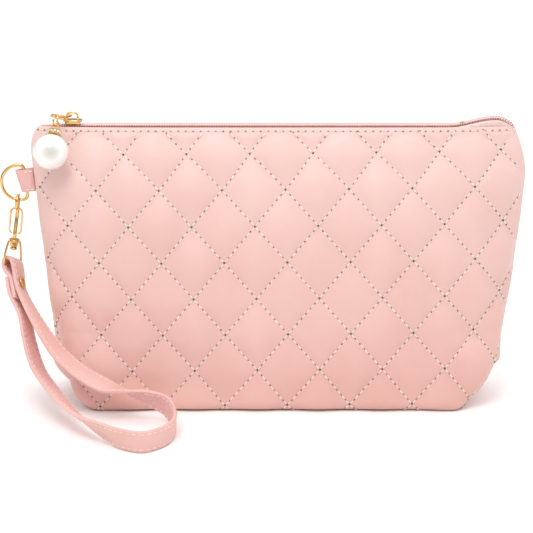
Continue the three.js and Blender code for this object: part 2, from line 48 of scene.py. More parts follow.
# ---- driving dimensions, as in the CAD -----------------------------------------------------
GAP = 0.3
BASE_HALF_LENGTH = 90.0
SEAM_HALF_WIDTH = 107.0    # half width at the side seams, projected down to the table
SIDE_FLARE = 0.1           # how much the half width grows per millimetre of height
BOX_HEIGHT = 21.0          # height of the boxed corner's cross seam
SHOULDER_HEIGHT = 122.0
SHOULDER_SPAN = 12.0
SHOULDER_ROUNDING = 5.0
LEFT_SHOULDER = 120.0
LEFT_SHOULDER_DROP = 5.0
RIGHT_SHOULDER = 110.0
RIGHT_SHOULDER_DROP = 8.5
RIGHT_FULLNESS = 1.6       # the right side is this much fuller above RIGHT_FULL_HEIGHT
RIGHT_FULL_HEIGHT = 70.0
BASE_HALF_DEPTH = 28.0
FACE_LEAN = 0.077          # how much the half depth shrinks per millimetre of height
PINCH_HEIGHT = 84.0        # above this the faces curve in towards the zip
PINCH_SPAN = 52.0
PINCH_DEPTH = 11.5
EDGE_RADIUS = 5.0          # rounding where a face turns under into the base
PANEL_TOP = 134.2
SIDE_SQUARENESS = 6        # higher keeps the faces flat further out to the side seams
SIDE_ROUNDNESS = 0.48      # lower makes the side seams blunter
CORNER_SQUARENESS = 36     # the same two numbers for the box corners at the base
CORNER_ROUNDNESS = 0.24
CORNER_HEIGHT = 38.0       # height at which the box corners have faded out
CORNER_SHARPNESS = 0.85    # how much of the edge rounding is lost at the box corners
BOX_ROUNDING = 0.82        # below 1 the boxed corner bows outwards
LEFT_FOOT = 2.6            # extra length of the base at the left
WADDING = 2.5
WADDING_TOP = 128.0
LEATHER = 1.2

# ---- quilting: half steps from crossing to crossing, across and down the panel ---------------
QUILT_ORIGIN = np.array([17.3, 129.1])
QUILT_ACROSS = np.array([15.1, 0.15])
QUILT_DOWN = np.array([0.48, -17.6])
PUFF_HEIGHT = 2.8
PUFF_BASE = -1.5
PUFF_SHAPE = 0.68          # lower gives flatter puffs with steeper sides
SEAM_FADE = 14.0           # the puffs fade out over this distance from a side seam
QUILT_PITCH = 3.4
QUILT_MARGIN = 6.0         # no quilting stitch this close to a side seam
TOP_STITCH_DOWN = 2.1
TOP_STITCH_PITCH = 3.55
TOP_STITCH_MARGIN = 2.6
HEM_TOP = 136.0
THREAD_LIFT = 0.4
TOP_THREAD_LIFT = 0.08
HOLE_LIFT = 0.42
THREAD_RADIUS = 0.31
EDGE_THREAD_RADIUS = 0.24  # threads of the tab and the strap
THREAD_FLATNESS = 0.8
HOLE_RADIUS = 0.36

X_AXIS = np.array([1.0, 0.0, 0.0])
Y_AXIS = np.array([0.0, 1.0, 0.0])
Z_AXIS = np.array([0.0, 0.0, 1.0])


# ---- mesh helpers ----------------------------------------------------------------------------

def make_object(name, points, faces, material, smooth=True):
    mesh = bpy.data.meshes.new(name)
    mesh.from_pydata((np.asarray(points, float) * MM).tolist(), [], faces)
    mesh.polygons.foreach_set("use_smooth", [smooth] * len(mesh.polygons))
    mesh.materials.append(material)
    mesh.update()
    obj = bpy.data.objects.new(name, mesh)
    bpy.context.collection.objects.link(obj)
    return obj


def gold(name, shape, body, *replaces, closed=True):
    """A metal piece that stands for the CAD nodes named last."""
    return add_piece(name, shape, GOLD, body, replaces, closed=closed)


def outward(points, faces):
    """Faces turned so that the closed solid they bound has positive volume."""
    points = np.asarray(points, float)
    volume = 0.0
    for face in faces:
        a = points[face[0]]
        for i in range(1, len(face) - 1):
            volume += a.dot(np.cross(points[face[i]], points[face[i + 1]]))
    return faces if volume > 0 else [tuple(reversed(face)) for face in faces]


def add_piece(name, shape, material, body, replaces=(), smooth=True, closed=True):
    """A piece on its body; a closed one is a single solid whose faces are turned outward."""
    points, faces = shape
    if closed:
        faces = outward(points, faces)
    obj = make_object(name, points, faces, material, smooth)
    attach(obj, body)
    if replaces:
        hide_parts(*replaces)
    return obj


def loft(rings, closed=False):
    """Points and faces that join equal rings of points; an open row gets flat ends."""
    rings = np.asarray(rings, float)
    count, sides = rings.shape[:2]
    faces = []
    for i in range(count if closed else count - 1):
        here = i * sides
        after = ((i + 1) % count) * sides
        for j in range(sides):
            k = (j + 1) % sides
            faces.append((here + j, here + k, after + k, after + j))
    if not closed:
        faces.append(tuple(reversed(range(sides))))
        faces.append(tuple(range((count - 1) * sides, count * sides)))
    return rings.reshape(-1, 3), faces


def merge(parts):
    """One mesh from many (points, faces) pairs."""
    points = []
    faces = []
    start = 0
    for some_points, some_faces in parts:
        points.append(some_points)
        faces.extend(tuple(i + start for i in face) for face in some_faces)
        start += len(some_points)
    return np.concatenate(points), faces


def unit(vector):
    vector = np.asarray(vector, float)
    return vector / np.linalg.norm(vector)


def unit_rows(vectors):
    return vectors / np.linalg.norm(vectors, axis=-1)[..., None]


def tube(points, radius, normal, closed=False, sides=14):
    """A round wire along points that lie in one plane with the given normal."""
    points = np.asarray(points, float)
    if closed:
        along = np.roll(points, -1, 0) - np.roll(points, 1, 0)
    else:
        along = np.gradient(points, axis=0)
    along = unit_rows(along)
    side = unit_rows(np.cross(along, normal))
    up = np.cross(side, along)
    angle = np.linspace(0, 2 * math.pi, sides, endpoint=False)
    around = (side[:, None, :] * np.cos(angle)[None, :, None]
              + up[:, None, :] * np.sin(angle)[None, :, None])
    rings = points[:, None, :] + radius * around
    return loft(rings, closed)


def circle(a, b, steps):
    """Points of a unit circle that starts at a and turns towards b."""
    angle = np.linspace(0, 2 * math.pi, steps, endpoint=False)
    return np.outer(np.cos(angle), a) + np.outer(np.sin(angle), b)


def square_to(axis, helper):
    """Two directions square to an axis and to each other, the first square to the helper."""
    a = unit(np.cross(axis, helper))
    return a, np.cross(axis, a)


def ring(centre, a, b, radius, wire):
    return tube(centre + radius * circle(a, b, 56), wire, unit(np.cross(a, b)), closed=True)


def spline(points, steps):
    """Centripetal Catmull-Rom curve through points, with equal steps between each pair."""
    points = np.asarray(points, float)
    padded = np.vstack([2 * points[0] - points[1], points, 2 * points[-1] - points[-2]])
    out = []
    for i in range(len(points) - 1):
        p0, p1, p2, p3 = padded[i:i + 4]
        d1, d2, d3 = (np.linalg.norm(b - a) ** 0.5 for a, b in ((p0, p1), (p1, p2), (p2, p3)))
        m1 = ((p1 - p0) / d1 - (p2 - p0) / (d1 + d2) + (p2 - p1) / d2) * d2
        m2 = ((p2 - p1) / d2 - (p3 - p1) / (d2 + d3) + (p3 - p2) / d3) * d2
        for t in np.linspace(0, 1, steps, endpoint=False):
            out.append((2 * t ** 3 - 3 * t ** 2 + 1) * p1 + (t ** 3 - 2 * t ** 2 + t) * m1
                       + (3 * t ** 2 - 2 * t ** 3) * p2 + (t ** 3 - t ** 2) * m2)
    out.append(points[-1])
    return np.array(out)


def turned(profile, centre, axis, segments=40):
    """A shape of radius and height pairs spun about a line; it starts and ends on the line."""
    axis = unit(axis)
    helper = Y_AXIS if abs(axis[1]) < 0.9 else X_AXIS
    spin = circle(*square_to(axis, helper), segments)
    inner = [pair for pair in profile if pair[0] > 1e-6]
    points = np.concatenate([centre + axis * h + spin * r for r, h in inner]
                            + [[centre + axis * profile[0][1]], [centre + axis * profile[-1][1]]])
    faces = []
    for i in range(len(inner) - 1):
        for j in range(segments):
            k = (j + 1) % segments
            here = i * segments
            after = here + segments
            faces.append((here + j, here + k, after + k, after + j))
    first = len(inner) * segments
    last_ring = (len(inner) - 1) * segments
    for j in range(segments):
        k = (j + 1) % segments
        faces.append((first, k, j))
        faces.append((first + 1, last_ring + j, last_ring + k))
    return points, faces


# Share of the length and of the radius, from one rounded end of a capsule to the other.
CAPSULE_SHAPE = ((0.03, 0.45), (0.14, 0.85), (0.35, 1.0), (0.65, 1.0), (0.86, 0.85), (0.97, 0.45))


def capsule(start, end, normal, radius, flat=1.0, sides=8):
    """A short rounded thread or tooth from start to end; flat squeezes it along the normal."""
    along = unit(end - start)
    up = unit(normal - along * np.dot(normal, along))
    section = circle(np.cross(along, up), up * flat, sides)
    rings = []
    for share, size in CAPSULE_SHAPE:
        rings.append(start + (end - start) * share + section * radius * size)
    return loft(rings)


# ---- material helpers ------------------------------------------------------------------------

class Nodes:
    """A material's node tree, with short names for the nodes used here."""

    def __init__(self, name, colour, roughness, metallic=0.0):
        self.material = bpy.data.materials.new(name)
        self.material.use_nodes = True
        self.tree = self.material.node_tree
        self.shader = self.tree.nodes["Principled BSDF"]
        self.set("Base Color", (*colour, 1))
        self.set("Roughness", roughness)
        self.set("Metallic", metallic)
        self.place = self.tree.nodes.new("ShaderNodeTexCoord").outputs["Object"]
        self.height = None

    def link(self, a, b):
        self.tree.links.new(a, b)

    def set(self, key, value):
        self.shader.inputs[key].default_value = value

    def texture(self, kind, **values):
        """A texture node that reads the object's own coordinates."""
        node = self.tree.nodes.new("ShaderNodeTex" + kind)
        for key, value in values.items():
            node.inputs[key].default_value = value
        self.link(self.place, node.inputs["Vector"])
        return node

    def noise(self, scale, detail=3.0, rough=0.55):
        return self.texture("Noise", Scale=scale, Detail=detail, Roughness=rough).outputs["Fac"]

    def cells(self, scale):
        node = self.texture("Voronoi", Scale=scale)
        node.feature = "DISTANCE_TO_EDGE"
        return node.outputs["Distance"]

    def bands(self, scale, axis, distortion):
        node = self.texture("Wave", Scale=scale, Distortion=distortion)
        node.bands_direction = axis
        return node.outputs["Fac"]

    def spread(self, value, low, high, out_low=0, out_high=1):
        node = self.tree.nodes.new("ShaderNodeMapRange")
        for key, number in (("From Min", low), ("From Max", high), ("To Min", out_low), ("To Max", out_high)):
            node.inputs[key].default_value = number
        self.link(value, node.inputs["Value"])
        return node.outputs["Result"]

    def mix(self, share, first, second):
        node = self.tree.nodes.new("ShaderNodeMix")
        node.data_type = "RGBA"
        self.link(share, node.inputs["Factor"])
        for socket, colour in ((node.inputs[6], first), (node.inputs[7], second)):
            if isinstance(colour, tuple):
                socket.default_value = (*colour, 1)
            else:
                self.link(colour, socket)
        return node.outputs[2]

    def mottle(self, scale, detail, first, second, rough=0.55):
        """Two colours in soft patches."""
        patches = self.spread(self.noise(scale, detail, rough), 0.35, 0.65)
        return self.mix(patches, first, second)

    def colour(self, value):
        self.link(value, self.shader.inputs["Base Color"])

    def rough(self, value):
        self.link(value, self.shader.inputs["Roughness"])

    def bump(self, value, depth, strength=1.0):
        node = self.tree.nodes.new("ShaderNodeBump")
        node.inputs["Distance"].default_value = depth
        node.inputs["Strength"].default_value = strength
        self.link(value, node.inputs["Height"])
        if self.height is not None:
            self.link(self.height, node.inputs["Normal"])
        self.height = node.outputs["Normal"]
        self.link(self.height, self.shader.inputs["Normal"])


def leather_material(name, light, deep, painted_shade_pale, painted_shade_deep, top):
    """Two mottled pinks near the rim, with painted shade that deepens them towards the base."""
    m = Nodes(name, light, 0.5)
    mottle = m.spread(m.noise(28, 3), 0.35, 0.65)
    # Painted shade: below the top height the colour blends into the two deeper pinks, standing for the lower
    # bag catching less light.
    split = m.tree.nodes.new("ShaderNodeSeparateXYZ")
    m.link(m.place, split.inputs["Vector"])
    height = m.spread(split.outputs["Z"], 0.0, top)
    m.colour(m.mix(height, m.mix(mottle, painted_shade_pale, painted_shade_deep), m.mix(mottle, light, deep)))
    m.rough(m.spread(m.noise(300, 2), 0.3, 0.7, 0.42, 0.56))
    m.bump(m.cells(1500), 0.00005, 0.35)
    m.bump(m.noise(420, 4), 0.00022, 0.5)
    m.set("Specular IOR Level", 0.42)
    m.set("Sheen Weight", 0.12)
    m.set("Subsurface Weight", 0.06)
    m.set("Subsurface Radius", (0.004, 0.002, 0.0015))
    return m.material


def inner_strap_material():
    m = Nodes("strap_inner_face", (0.75, 0.48, 0.43), 0.85)
    m.colour(m.mottle(900, 4, (0.86, 0.53, 0.50), (0.72, 0.38, 0.36), 0.7))
    m.bump(m.noise(1400, 3, 0.7), 0.0004, 0.8)
    return m.material


def metal_material(name, colour, edge, roughness):
    m = Nodes(name, colour, roughness, 1.0)
    m.colour(m.mix(m.spread(m.noise(260, 3), 0.3, 0.7), colour, edge))
    m.rough(m.spread(m.noise(700, 4), 0.3, 0.7, roughness * 0.7, roughness * 1.5))
    m.bump(m.noise(380, 3), 0.00006, 0.25)
    return m.material


def pearl_material():
    m = Nodes("pearl_coat", (0.93, 0.91, 0.86), 0.16)
    # Painted reflection: a mottled grey where the pearl faces the camera stands for the dark camera side
    # mirrored in it; elsewhere the pearl is pale and turns creamier at the rim.
    painted_reflection = m.mottle(70, 2, (0.66, 0.64, 0.58), (0.61, 0.595, 0.54))
    facing = m.tree.nodes.new("ShaderNodeLayerWeight")
    facing.inputs["Blend"].default_value = 0.45
    body_and_reflection = m.mix(m.spread(facing.outputs["Facing"], 0.0, 0.14), painted_reflection, (0.86, 0.855, 0.83))
    m.colour(m.mix(m.spread(facing.outputs["Facing"], 0.45, 1.0), body_and_reflection, (0.80, 0.76, 0.68)))
    m.rough(m.spread(m.noise(500, 2), 0.3, 0.7, 0.12, 0.22))
    m.set("Coat Weight", 0.7)
    m.set("Coat Roughness", 0.06)
    m.set("Subsurface Weight", 0.25)
    m.set("Subsurface Radius", (0.004, 0.0035, 0.003))
    m.set("Sheen Weight", 0.15)
    return m.material


def stone_material():
    m = Nodes("clear_stone", (0.93, 0.92, 0.9), 0.04, 0.55)
    m.colour(m.mottle(1500, 1, (0.98, 0.97, 0.95), (0.72, 0.70, 0.68)))
    m.set("Coat Weight", 1.0)
    m.set("Coat Roughness", 0.02)
    return m.material


def thread_material():
    m = Nodes("cream_thread", (0.93, 0.84, 0.74), 0.7)
    m.colour(m.mottle(1800, 3, (0.97, 0.89, 0.81), (0.90, 0.78, 0.70)))
    m.bump(m.bands(2600, "DIAGONAL", 1.0), 0.00008, 0.4)
    m.set("Sheen Weight", 0.6)
    m.set("Subsurface Weight", 0.3)
    m.set("Subsurface Radius", (0.001, 0.001, 0.001))
    return m.material


def hole_shade_material():
    # Painted shade: dark browns for the shade inside a needle hole.
    m = Nodes("needle_hole_shade", (0.20, 0.10, 0.09), 0.9)
    m.colour(m.mix(m.noise(2500, 2), (0.20, 0.09, 0.08), (0.36, 0.19, 0.17)))
    return m.material


WEAVE_RELIEF = 0.12


def cloth_material(name, light, deep, scale):
    m = Nodes(name, light, 0.8)
    m.colour(m.mottle(scale * 0.5, 3, light, deep))
    relief = WEAVE_RELIEF / scale
    m.bump(m.bands(scale, "X", 0.6), relief, 0.6)
    m.bump(m.bands(scale, "Z", 0.6), relief, 0.4)
    m.set("Sheen Weight", 0.3)
    return m.material


def nylon_material():
    m = Nodes("zip_nylon", (0.80, 0.52, 0.49), 0.42)
    m.colour(m.mottle(600, 2, (0.92, 0.68, 0.63), (0.84, 0.56, 0.52)))
    m.bump(m.noise(2600, 2), 0.00006, 0.4)
    return m.material


# In each leather the last two pinks and the height are painted shade that deepens the colour towards the
# base.
PINK = leather_material("pink_leather", (0.80, 0.56, 0.52), (0.77, 0.52, 0.475),
                        (0.77, 0.46, 0.40), (0.73, 0.41, 0.355), 0.13)
STRAP_PINK = leather_material("strap_leather", (0.80, 0.49, 0.45), (0.75, 0.43, 0.39),
                              (0.79, 0.48, 0.43), (0.74, 0.42, 0.37), 0.1)
STRAP_INNER = inner_strap_material()
GOLD = metal_material("pale_gold", (0.84, 0.57, 0.24), (0.70, 0.43, 0.15), 0.15)
PEARL = pearl_material()
STONE = stone_material()
THREAD = thread_material()
TOP_THREAD = cloth_material("top_thread", (0.94, 0.74, 0.69), (0.88, 0.66, 0.61), 2000)
STRAP_THREAD = cloth_material("strap_thread", (0.95, 0.76, 0.71), (0.88, 0.66, 0.61), 2000)
HOLE_SHADE = hole_shade_material()
TAPE = cloth_material("zip_tape_weave", (0.92, 0.70, 0.66), (0.85, 0.61, 0.57), 900)
NYLON = nylon_material()
# Dark rose: the real sewing thread, darkened as painted shade of the gap between the coil and the tape.
SEWING_AND_GAP_SHADE = cloth_material("zip_sewing_and_gap_shade", (0.56, 0.20, 0.18), (0.44, 0.14, 0.125), 2000)
FIBRE = cloth_material("wadding_fibre", (0.85, 0.82, 0.78), (0.78, 0.74, 0.70), 300)
LINING = cloth_material("lining_weave", (0.70, 0.42, 0.40), (0.62, 0.36, 0.34), 700)


# ---- camera, light and floor -------------------------------------------------------------------

CAMERA_TARGET = np.array([-5.6, 0.0, 65.5])
CAMERA_ELEVATION = math.radians(15)
CAMERA_DISTANCE = 900.0


def make_camera():
    away = np.array([0, -math.cos(CAMERA_ELEVATION), math.sin(CAMERA_ELEVATION)])
    place = CAMERA_TARGET + CAMERA_DISTANCE * away
    data = bpy.data.cameras.new("camera")
    data.sensor_width = 36
    data.lens = 124
    data.clip_start = 0.01
    data.clip_end = 20
    camera = bpy.data.objects.new("camera", data)
    camera.location = Vector(place * MM)
    camera.rotation_euler = Vector((CAMERA_TARGET - place) * MM).to_track_quat("-Z", "Y").to_euler()
    bpy.context.collection.objects.link(camera)
    bpy.context.scene.camera = camera


def area_light(name, place, target, size, power):
    data = bpy.data.lights.new(name, "AREA")
    data.shape = "DISK"
    data.size = size
    data.energy = power
    lamp = bpy.data.objects.new(name, data)
    lamp.location = Vector(place)
    lamp.rotation_euler = (Vector(target) - Vector(place)).to_track_quat("-Z", "Y").to_euler()
    bpy.context.collection.objects.link(lamp)


SKY_LOW = 0.2      # sky strength at the horizon
SKY_HIGH = 1.5     # and straight above
FLOOR_SIZE = 12.0  # metres from the middle to an edge
FLOOR_DROP = 0.0003


def make_sky():
    """White light from all round, weak at the horizon and strong above."""
    world = bpy.data.worlds.new("studio")
    world.use_nodes = True
    tree = world.node_tree
    background = tree.nodes["Background"]
    place = tree.nodes.new("ShaderNodeTexCoord")
    split = tree.nodes.new("ShaderNodeSeparateXYZ")
    ramp = tree.nodes.new("ShaderNodeMapRange")
    ramp.inputs["To Min"].default_value = SKY_LOW
    ramp.inputs["To Max"].default_value = SKY_HIGH
    tree.links.new(place.outputs["Generated"], split.inputs["Vector"])
    tree.links.new(split.outputs["Z"], ramp.inputs["Value"])
    tree.links.new(ramp.outputs["Result"], background.inputs["Strength"])
    background.inputs["Color"].default_value = (1, 1, 1, 1)
    bpy.context.scene.world = world


def make_floor():
    mesh = bpy.data.meshes.new("floor")
    corners = [(x * FLOOR_SIZE, y * FLOOR_SIZE, 0) for x, y in ((-1, -1), (1, -1), (1, 1), (-1, 1))]
    mesh.from_pydata(corners, [], [(0, 1, 2, 3)])
    m = Nodes("floor_white", (0.92, 0.92, 0.92), 0.8)
    m.colour(m.mix(m.noise(3, 2), (0.965, 0.965, 0.965), (0.975, 0.975, 0.975)))
    mesh.materials.append(m.material)
    floor = bpy.data.objects.new("floor", mesh)
    floor.location = (0, 0, -FLOOR_DROP)
    bpy.context.collection.objects.link(floor)


def make_studio():
    make_sky()
    area_light("key", (-0.12, -0.5, 0.8), (0, 0, 0.12), 0.4, 2.6)
    area_light("rim", (0.9, 0.3, 0.8), (0, 0, 0.07), 0.5, 1.6)
    make_floor()
    bpy.context.scene.view_settings.view_transform = "Standard"
    bpy.context.scene.view_settings.look = "None"


# ---- the bag's surface ---------------------------------------------------------------------------

def half_width(z):
    z = np.asarray(z, float)
    at_box = SEAM_HALF_WIDTH + SIDE_FLARE * BOX_HEIGHT
    low = BASE_HALF_LENGTH + (at_box - BASE_HALF_LENGTH) * np.clip(z / BOX_HEIGHT, 0, 1) ** BOX_ROUNDING
    rounding = np.maximum(0, (z - SHOULDER_HEIGHT) / SHOULDER_SPAN)
    high = SEAM_HALF_WIDTH + SIDE_FLARE * z - SHOULDER_ROUNDING * rounding ** 2
    return np.where(z < BOX_HEIGHT, low, high)


def side_width(z, share):
    """Half width towards one side seam: the right one is fuller, with a longer shoulder."""
    z = np.asarray(z, float)
    rise = smooth_step(z, BOX_HEIGHT, RIGHT_FULL_HEIGHT)
    shoulder = np.maximum(0, (z - RIGHT_SHOULDER) / (HEM_TOP - RIGHT_SHOULDER))
    right = SEAM_HALF_WIDTH + SIDE_FLARE * z + RIGHT_FULLNESS * rise - RIGHT_SHOULDER_DROP * shoulder ** 1.7
    shoulder = np.maximum(0, (z - LEFT_SHOULDER) / (HEM_TOP - LEFT_SHOULDER))
    left = SEAM_HALF_WIDTH + SIDE_FLARE * z - LEFT_SHOULDER_DROP * shoulder ** 3
    foot = half_width(z) + LEFT_FOOT * (1 - z / BOX_HEIGHT) * (share < 0)
    return np.where(z < BOX_HEIGHT, foot, np.where(share > 0, right, left))


def smooth_step(value, low, high):
    t = np.clip((value - low) / (high - low), 0, 1)
    return t * t * (3 - 2 * t)


def half_depth(z):
    z = np.asarray(z, float)
    pinch = np.maximum(0, (z - PINCH_HEIGHT) / PINCH_SPAN)
    return BASE_HALF_DEPTH - FACE_LEAN * z - PINCH_DEPTH * pinch ** 2


def bulge(share, z):
    """How far forward the face stands across its width; squarer at the box corners."""
    above = np.maximum(0, z - EDGE_RADIUS) / (CORNER_HEIGHT - EDGE_RADIUS)
    corner = np.maximum(0, 1 - above) ** 1.5
    squareness = SIDE_SQUARENESS + (CORNER_SQUARENESS - SIDE_SQUARENESS) * corner
    roundness = SIDE_ROUNDNESS + (CORNER_ROUNDNESS - SIDE_ROUNDNESS) * corner
    return np.maximum(0, 1 - np.abs(share) ** squareness) ** roundness


TURN_STEPS = 40    # samples of the rounded edge at the base, finely spaced


class Panel:
    """The front (-1) or back (+1) face: points by distance across and up the flat panel."""

    def __init__(self, front, rows=420, columns=700):
        turn = np.linspace(0, math.pi / 2, TURN_STEPS)
        z = np.concatenate([EDGE_RADIUS * (1 - np.cos(turn)), np.linspace(EDGE_RADIUS, HEM_TOP, 600)[1:]])
        d = half_depth(z)
        edge = np.zeros(len(z))
        edge[:TURN_STEPS] = EDGE_RADIUS * (np.sin(turn) - 1)
        up = np.concatenate([[0], np.cumsum(np.hypot(np.diff(z), np.diff(d + edge)))])
        self.height = up[-1]
        self.up = np.linspace(0, self.height, rows)
        z = np.interp(self.up, up, z)
        d = np.interp(self.up, up, d)
        edge = np.interp(self.up, up, edge)
        share = np.sin(np.linspace(-math.pi / 2, math.pi / 2, 2400))
        self.half = np.empty(rows)
        self.grid = np.empty((rows, columns, 3))
        for i in range(rows):
            x = side_width(z[i], share) * share
            softened = edge[i] * (1 - CORNER_SHARPNESS * share ** 8)
            y = GAP / 2 + (d[i] + softened) * bulge(share, z[i])
            across = np.concatenate([[0], np.cumsum(np.hypot(np.diff(x), np.diff(y)))])
            self.half[i] = across[-1] / 2
            even = np.linspace(0, across[-1], columns)
            self.grid[i, :, 0] = np.interp(even, across, x)
            self.grid[i, :, 1] = front * np.interp(even, across, y)
            self.grid[i, :, 2] = z[i]
        d_across = np.gradient(self.grid, axis=1)
        d_up = np.gradient(self.grid, axis=0)
        normal = np.cross(d_across, d_up) * (1 if front < 0 else -1)
        self.normal = unit_rows(normal)

    def sample(self, table, across, up):
        """The values of an even table at distances across and up, blended between its points."""
        rows, columns = table.shape[:2]
        r = np.clip(np.asarray(up) / self.height * (rows - 1), 0, rows - 1.001)
        half = np.interp(up, self.up, self.half)
        c = np.clip((np.asarray(across) / half + 1) / 2 * (columns - 1), 0, columns - 1.001)
        i = r.astype(int)
        j = c.astype(int)
        fr = (r - i)[..., None]
        fc = (c - j)[..., None]
        return ((table[i, j] * (1 - fc) + table[i, j + 1] * fc) * (1 - fr)
                + (table[i + 1, j] * (1 - fc) + table[i + 1, j + 1] * fc) * fr)

    def inside(self, across, up, margin):
        half = np.interp(up, self.up, self.half)
        return (np.abs(across) < half - margin) & (up > 1.0) & (up < self.height - 1.2)

    def point(self, across, up, lift):
        """Points at the given lifts off the flat wall, and the wall's normals there."""
        normal = unit_rows(self.sample(self.normal, across, up))
        return self.sample(self.grid, across, up) + normal * lift[..., None], normal


QUILT_BACK = np.linalg.inv(np.stack([QUILT_ACROSS, QUILT_DOWN], axis=1))


def quilt_lines(across, up):
    """Two numbers that are whole on the two families of stitched lines."""
    i, j = np.tensordot(QUILT_BACK, np.stack([across - QUILT_ORIGIN[0], up - QUILT_ORIGIN[1]]), axes=1)
    return (i + j) / 2, (i - j) / 2


def puff(panel, across, up, seed):
    """How far the quilted leather stands off the wall's own surface."""
    p, q = quilt_lines(across, up)
    a = np.abs(np.sin(math.pi * p))
    b = np.abs(np.sin(math.pi * q))
    dome = (a * b) ** PUFF_SHAPE
    valley = np.minimum(a, b)
    wobble = 0.10 * np.sin(across * 0.061 + up * 0.043 + seed)
    wobble += 0.06 * np.sin(across * 0.13 - up * 0.11 + 2 * seed)
    near_thread = np.exp(-(valley / 0.22) ** 2) * smooth_step(valley, 0, 0.08)
    pucker = 0.10 * np.sin(2 * math.pi * (p + q) * 9 + seed) * near_thread
    height = PUFF_BASE + PUFF_HEIGHT * dome * (1 + wobble) + pucker
    side = np.interp(up, panel.up, panel.half) - np.abs(across)
    seam = smooth_step(side, 0, SEAM_FADE)
    rim = smooth_step(panel.height - up, 2.8, 7)
    foot = smooth_step(up, 0, 10)
    height = height * seam * rim * foot - 0.5 * (1 - smooth_step(side, 0, 3))
    stitched_rim = -0.15 * np.exp(-((panel.height - up - TOP_STITCH_DOWN) / 0.8) ** 2)
    return height + stitched_rim * smooth_step(side, 0, 4)


SKIN_STEP = 0.74
WADDING_STEP = 2.2
WADDING_INSET = 3.5
WADDING_GAP = 0.2


def flat_grid(panel, step, low, high, inset):
    """Even distances across and up the panel, between two heights and inset at the sides."""
    rows = int(high / step)
    columns = int(panel.half.max() * 2 / step)
    up = np.linspace(low, high, rows)
    half = np.interp(up, panel.up, panel.half) - inset
    across = np.linspace(-1, 1, columns)[None, :] * half[:, None]
    return across, np.broadcast_to(up[:, None], across.shape)


def panel_skin(name, front, panel, seed):
    """The quilted leather: a puffed sheet with its full thickness and a softened upper edge."""
    across, up = flat_grid(panel, SKIN_STEP, 0, panel.height, 0)
    rows, columns = across.shape
    lift = puff(panel, across, up, seed)
    outer, normal = panel.point(across, up, lift)
    rounded = 0.6 * np.exp(-(panel.height - up) / 0.5)
    outer = outer - normal * rounded[..., None]
    inner, _ = panel.point(across, up, lift - LEATHER)
    points = np.concatenate([outer.reshape(-1, 3), inner.reshape(-1, 3)])
    at = np.arange(rows * columns).reshape(rows, columns)
    a, b, c, d = at[:-1, :-1], at[:-1, 1:], at[1:, 1:], at[1:, :-1]
    quads = np.stack([a, b, c, d], axis=-1).reshape(-1, 4)
    total = rows * columns
    back = quads[:, ::-1] + total
    edge = np.concatenate([at[0, :], at[1:, -1], at[-1, -2::-1], at[-2:0:-1, 0]])
    after = np.roll(edge, -1)
    rim = np.stack([after, edge, edge + total, after + total], axis=-1)
    faces = np.concatenate([quads, back, rim])
    if front > 0:
        faces = faces[:, ::-1]
    node = name.replace("_quilted", "")
    obj = add_piece(name, (points, faces.tolist()), PINK, "bag", (node,), closed=False)


def wadding_skin(name, panel, seed):
    """The fibre layer under the quilted leather, following the same puffs."""
    top = panel.height - (HEM_TOP - WADDING_TOP)
    across, up = flat_grid(panel, WADDING_STEP, 2.0, top, WADDING_INSET)
    outer, _ = panel.point(across, up, puff(panel, across, up, seed) - LEATHER - WADDING_GAP)
    inner, _ = panel.point(across, up, np.full(up.shape, -LEATHER - GAP - WADDING - WADDING_GAP))
    rings = np.concatenate([outer, inner[:, ::-1]], axis=1)
    add_piece(name, loft(rings), FIBRE, "bag", (name.replace("_fibre", ""),))


def quilt_stitches():
    """Stitch ends, in panel distances, on every quilting line of a sheet larger than a panel."""
    falling = QUILT_ACROSS + QUILT_DOWN
    rising = QUILT_ACROSS - QUILT_DOWN
    stitches = []
    for along, crossing in ((falling, rising), (rising, falling)):
        length = np.linalg.norm(along)
        direction = along / length
        per_cell = round(length / QUILT_PITCH)
        pitch = length / per_cell
        for line in range(-14, 15):
            start = QUILT_ORIGIN + crossing * line
            for k in range(-12 * per_cell, 12 * per_cell):
                first = start + direction * pitch * k
                stitches.append((first, first + direction * pitch, k % per_cell == 0))
    return stitches


def stitch_row(panel, lift, ends, gap, margin, thread_lift):
    """Threads, with a dark dot of painted shade at each needle hole, on the puffed surface.

    The gap is the share of a stitch left bare at each end. No stitch lies within the margin.
    """
    threads = []
    hole_shades = []
    for first, second, crossing in ends:
        thread_first = first + (second - first) * gap
        thread_second = second - (second - first) * gap
        pair = np.array([first, thread_first, thread_second])
        if not panel.inside(pair[:, 0], pair[:, 1], margin).all():
            continue
        points, normals = panel.point(pair[:, 0], pair[:, 1], lift(pair[:, 0], pair[:, 1]))
        points[1:] += normals[1:] * thread_lift
        threads.append(capsule(points[1], points[2], normals[1], THREAD_RADIUS, THREAD_FLATNESS, 6))
        size = HOLE_RADIUS * (1.25 if crossing else RANDOM.uniform(0.8, 1.1))
        # a dark dot of painted shade over each needle hole
        hole_shades.append(dot(points[0] + normals[0] * HOLE_LIFT, normals[0], size))
    return merge(threads), merge(hole_shades)


def dot(centre, normal, radius, sides=8):
    """A small shallow dome that carries the painted shade of a needle hole."""
    helper = Z_AXIS if abs(normal[2]) < 0.9 else X_AXIS
    rim = circle(*square_to(normal, helper), sides) * radius
    return loft([centre - normal * 0.5 + rim, centre + rim, centre + normal * 0.05 + rim * 0.5])


def top_stitches(panel):
    """Stitch ends, in panel distances, along the hem."""
    up = panel.height - TOP_STITCH_DOWN
    half = np.interp(up, panel.up, panel.half) - 3
    count = int(2 * half / TOP_STITCH_PITCH)
    at = -half + np.arange(count + 1) * (2 * half / count)
    return [(np.array([at[i], up]), np.array([at[i + 1], up]), False) for i in range(count)]


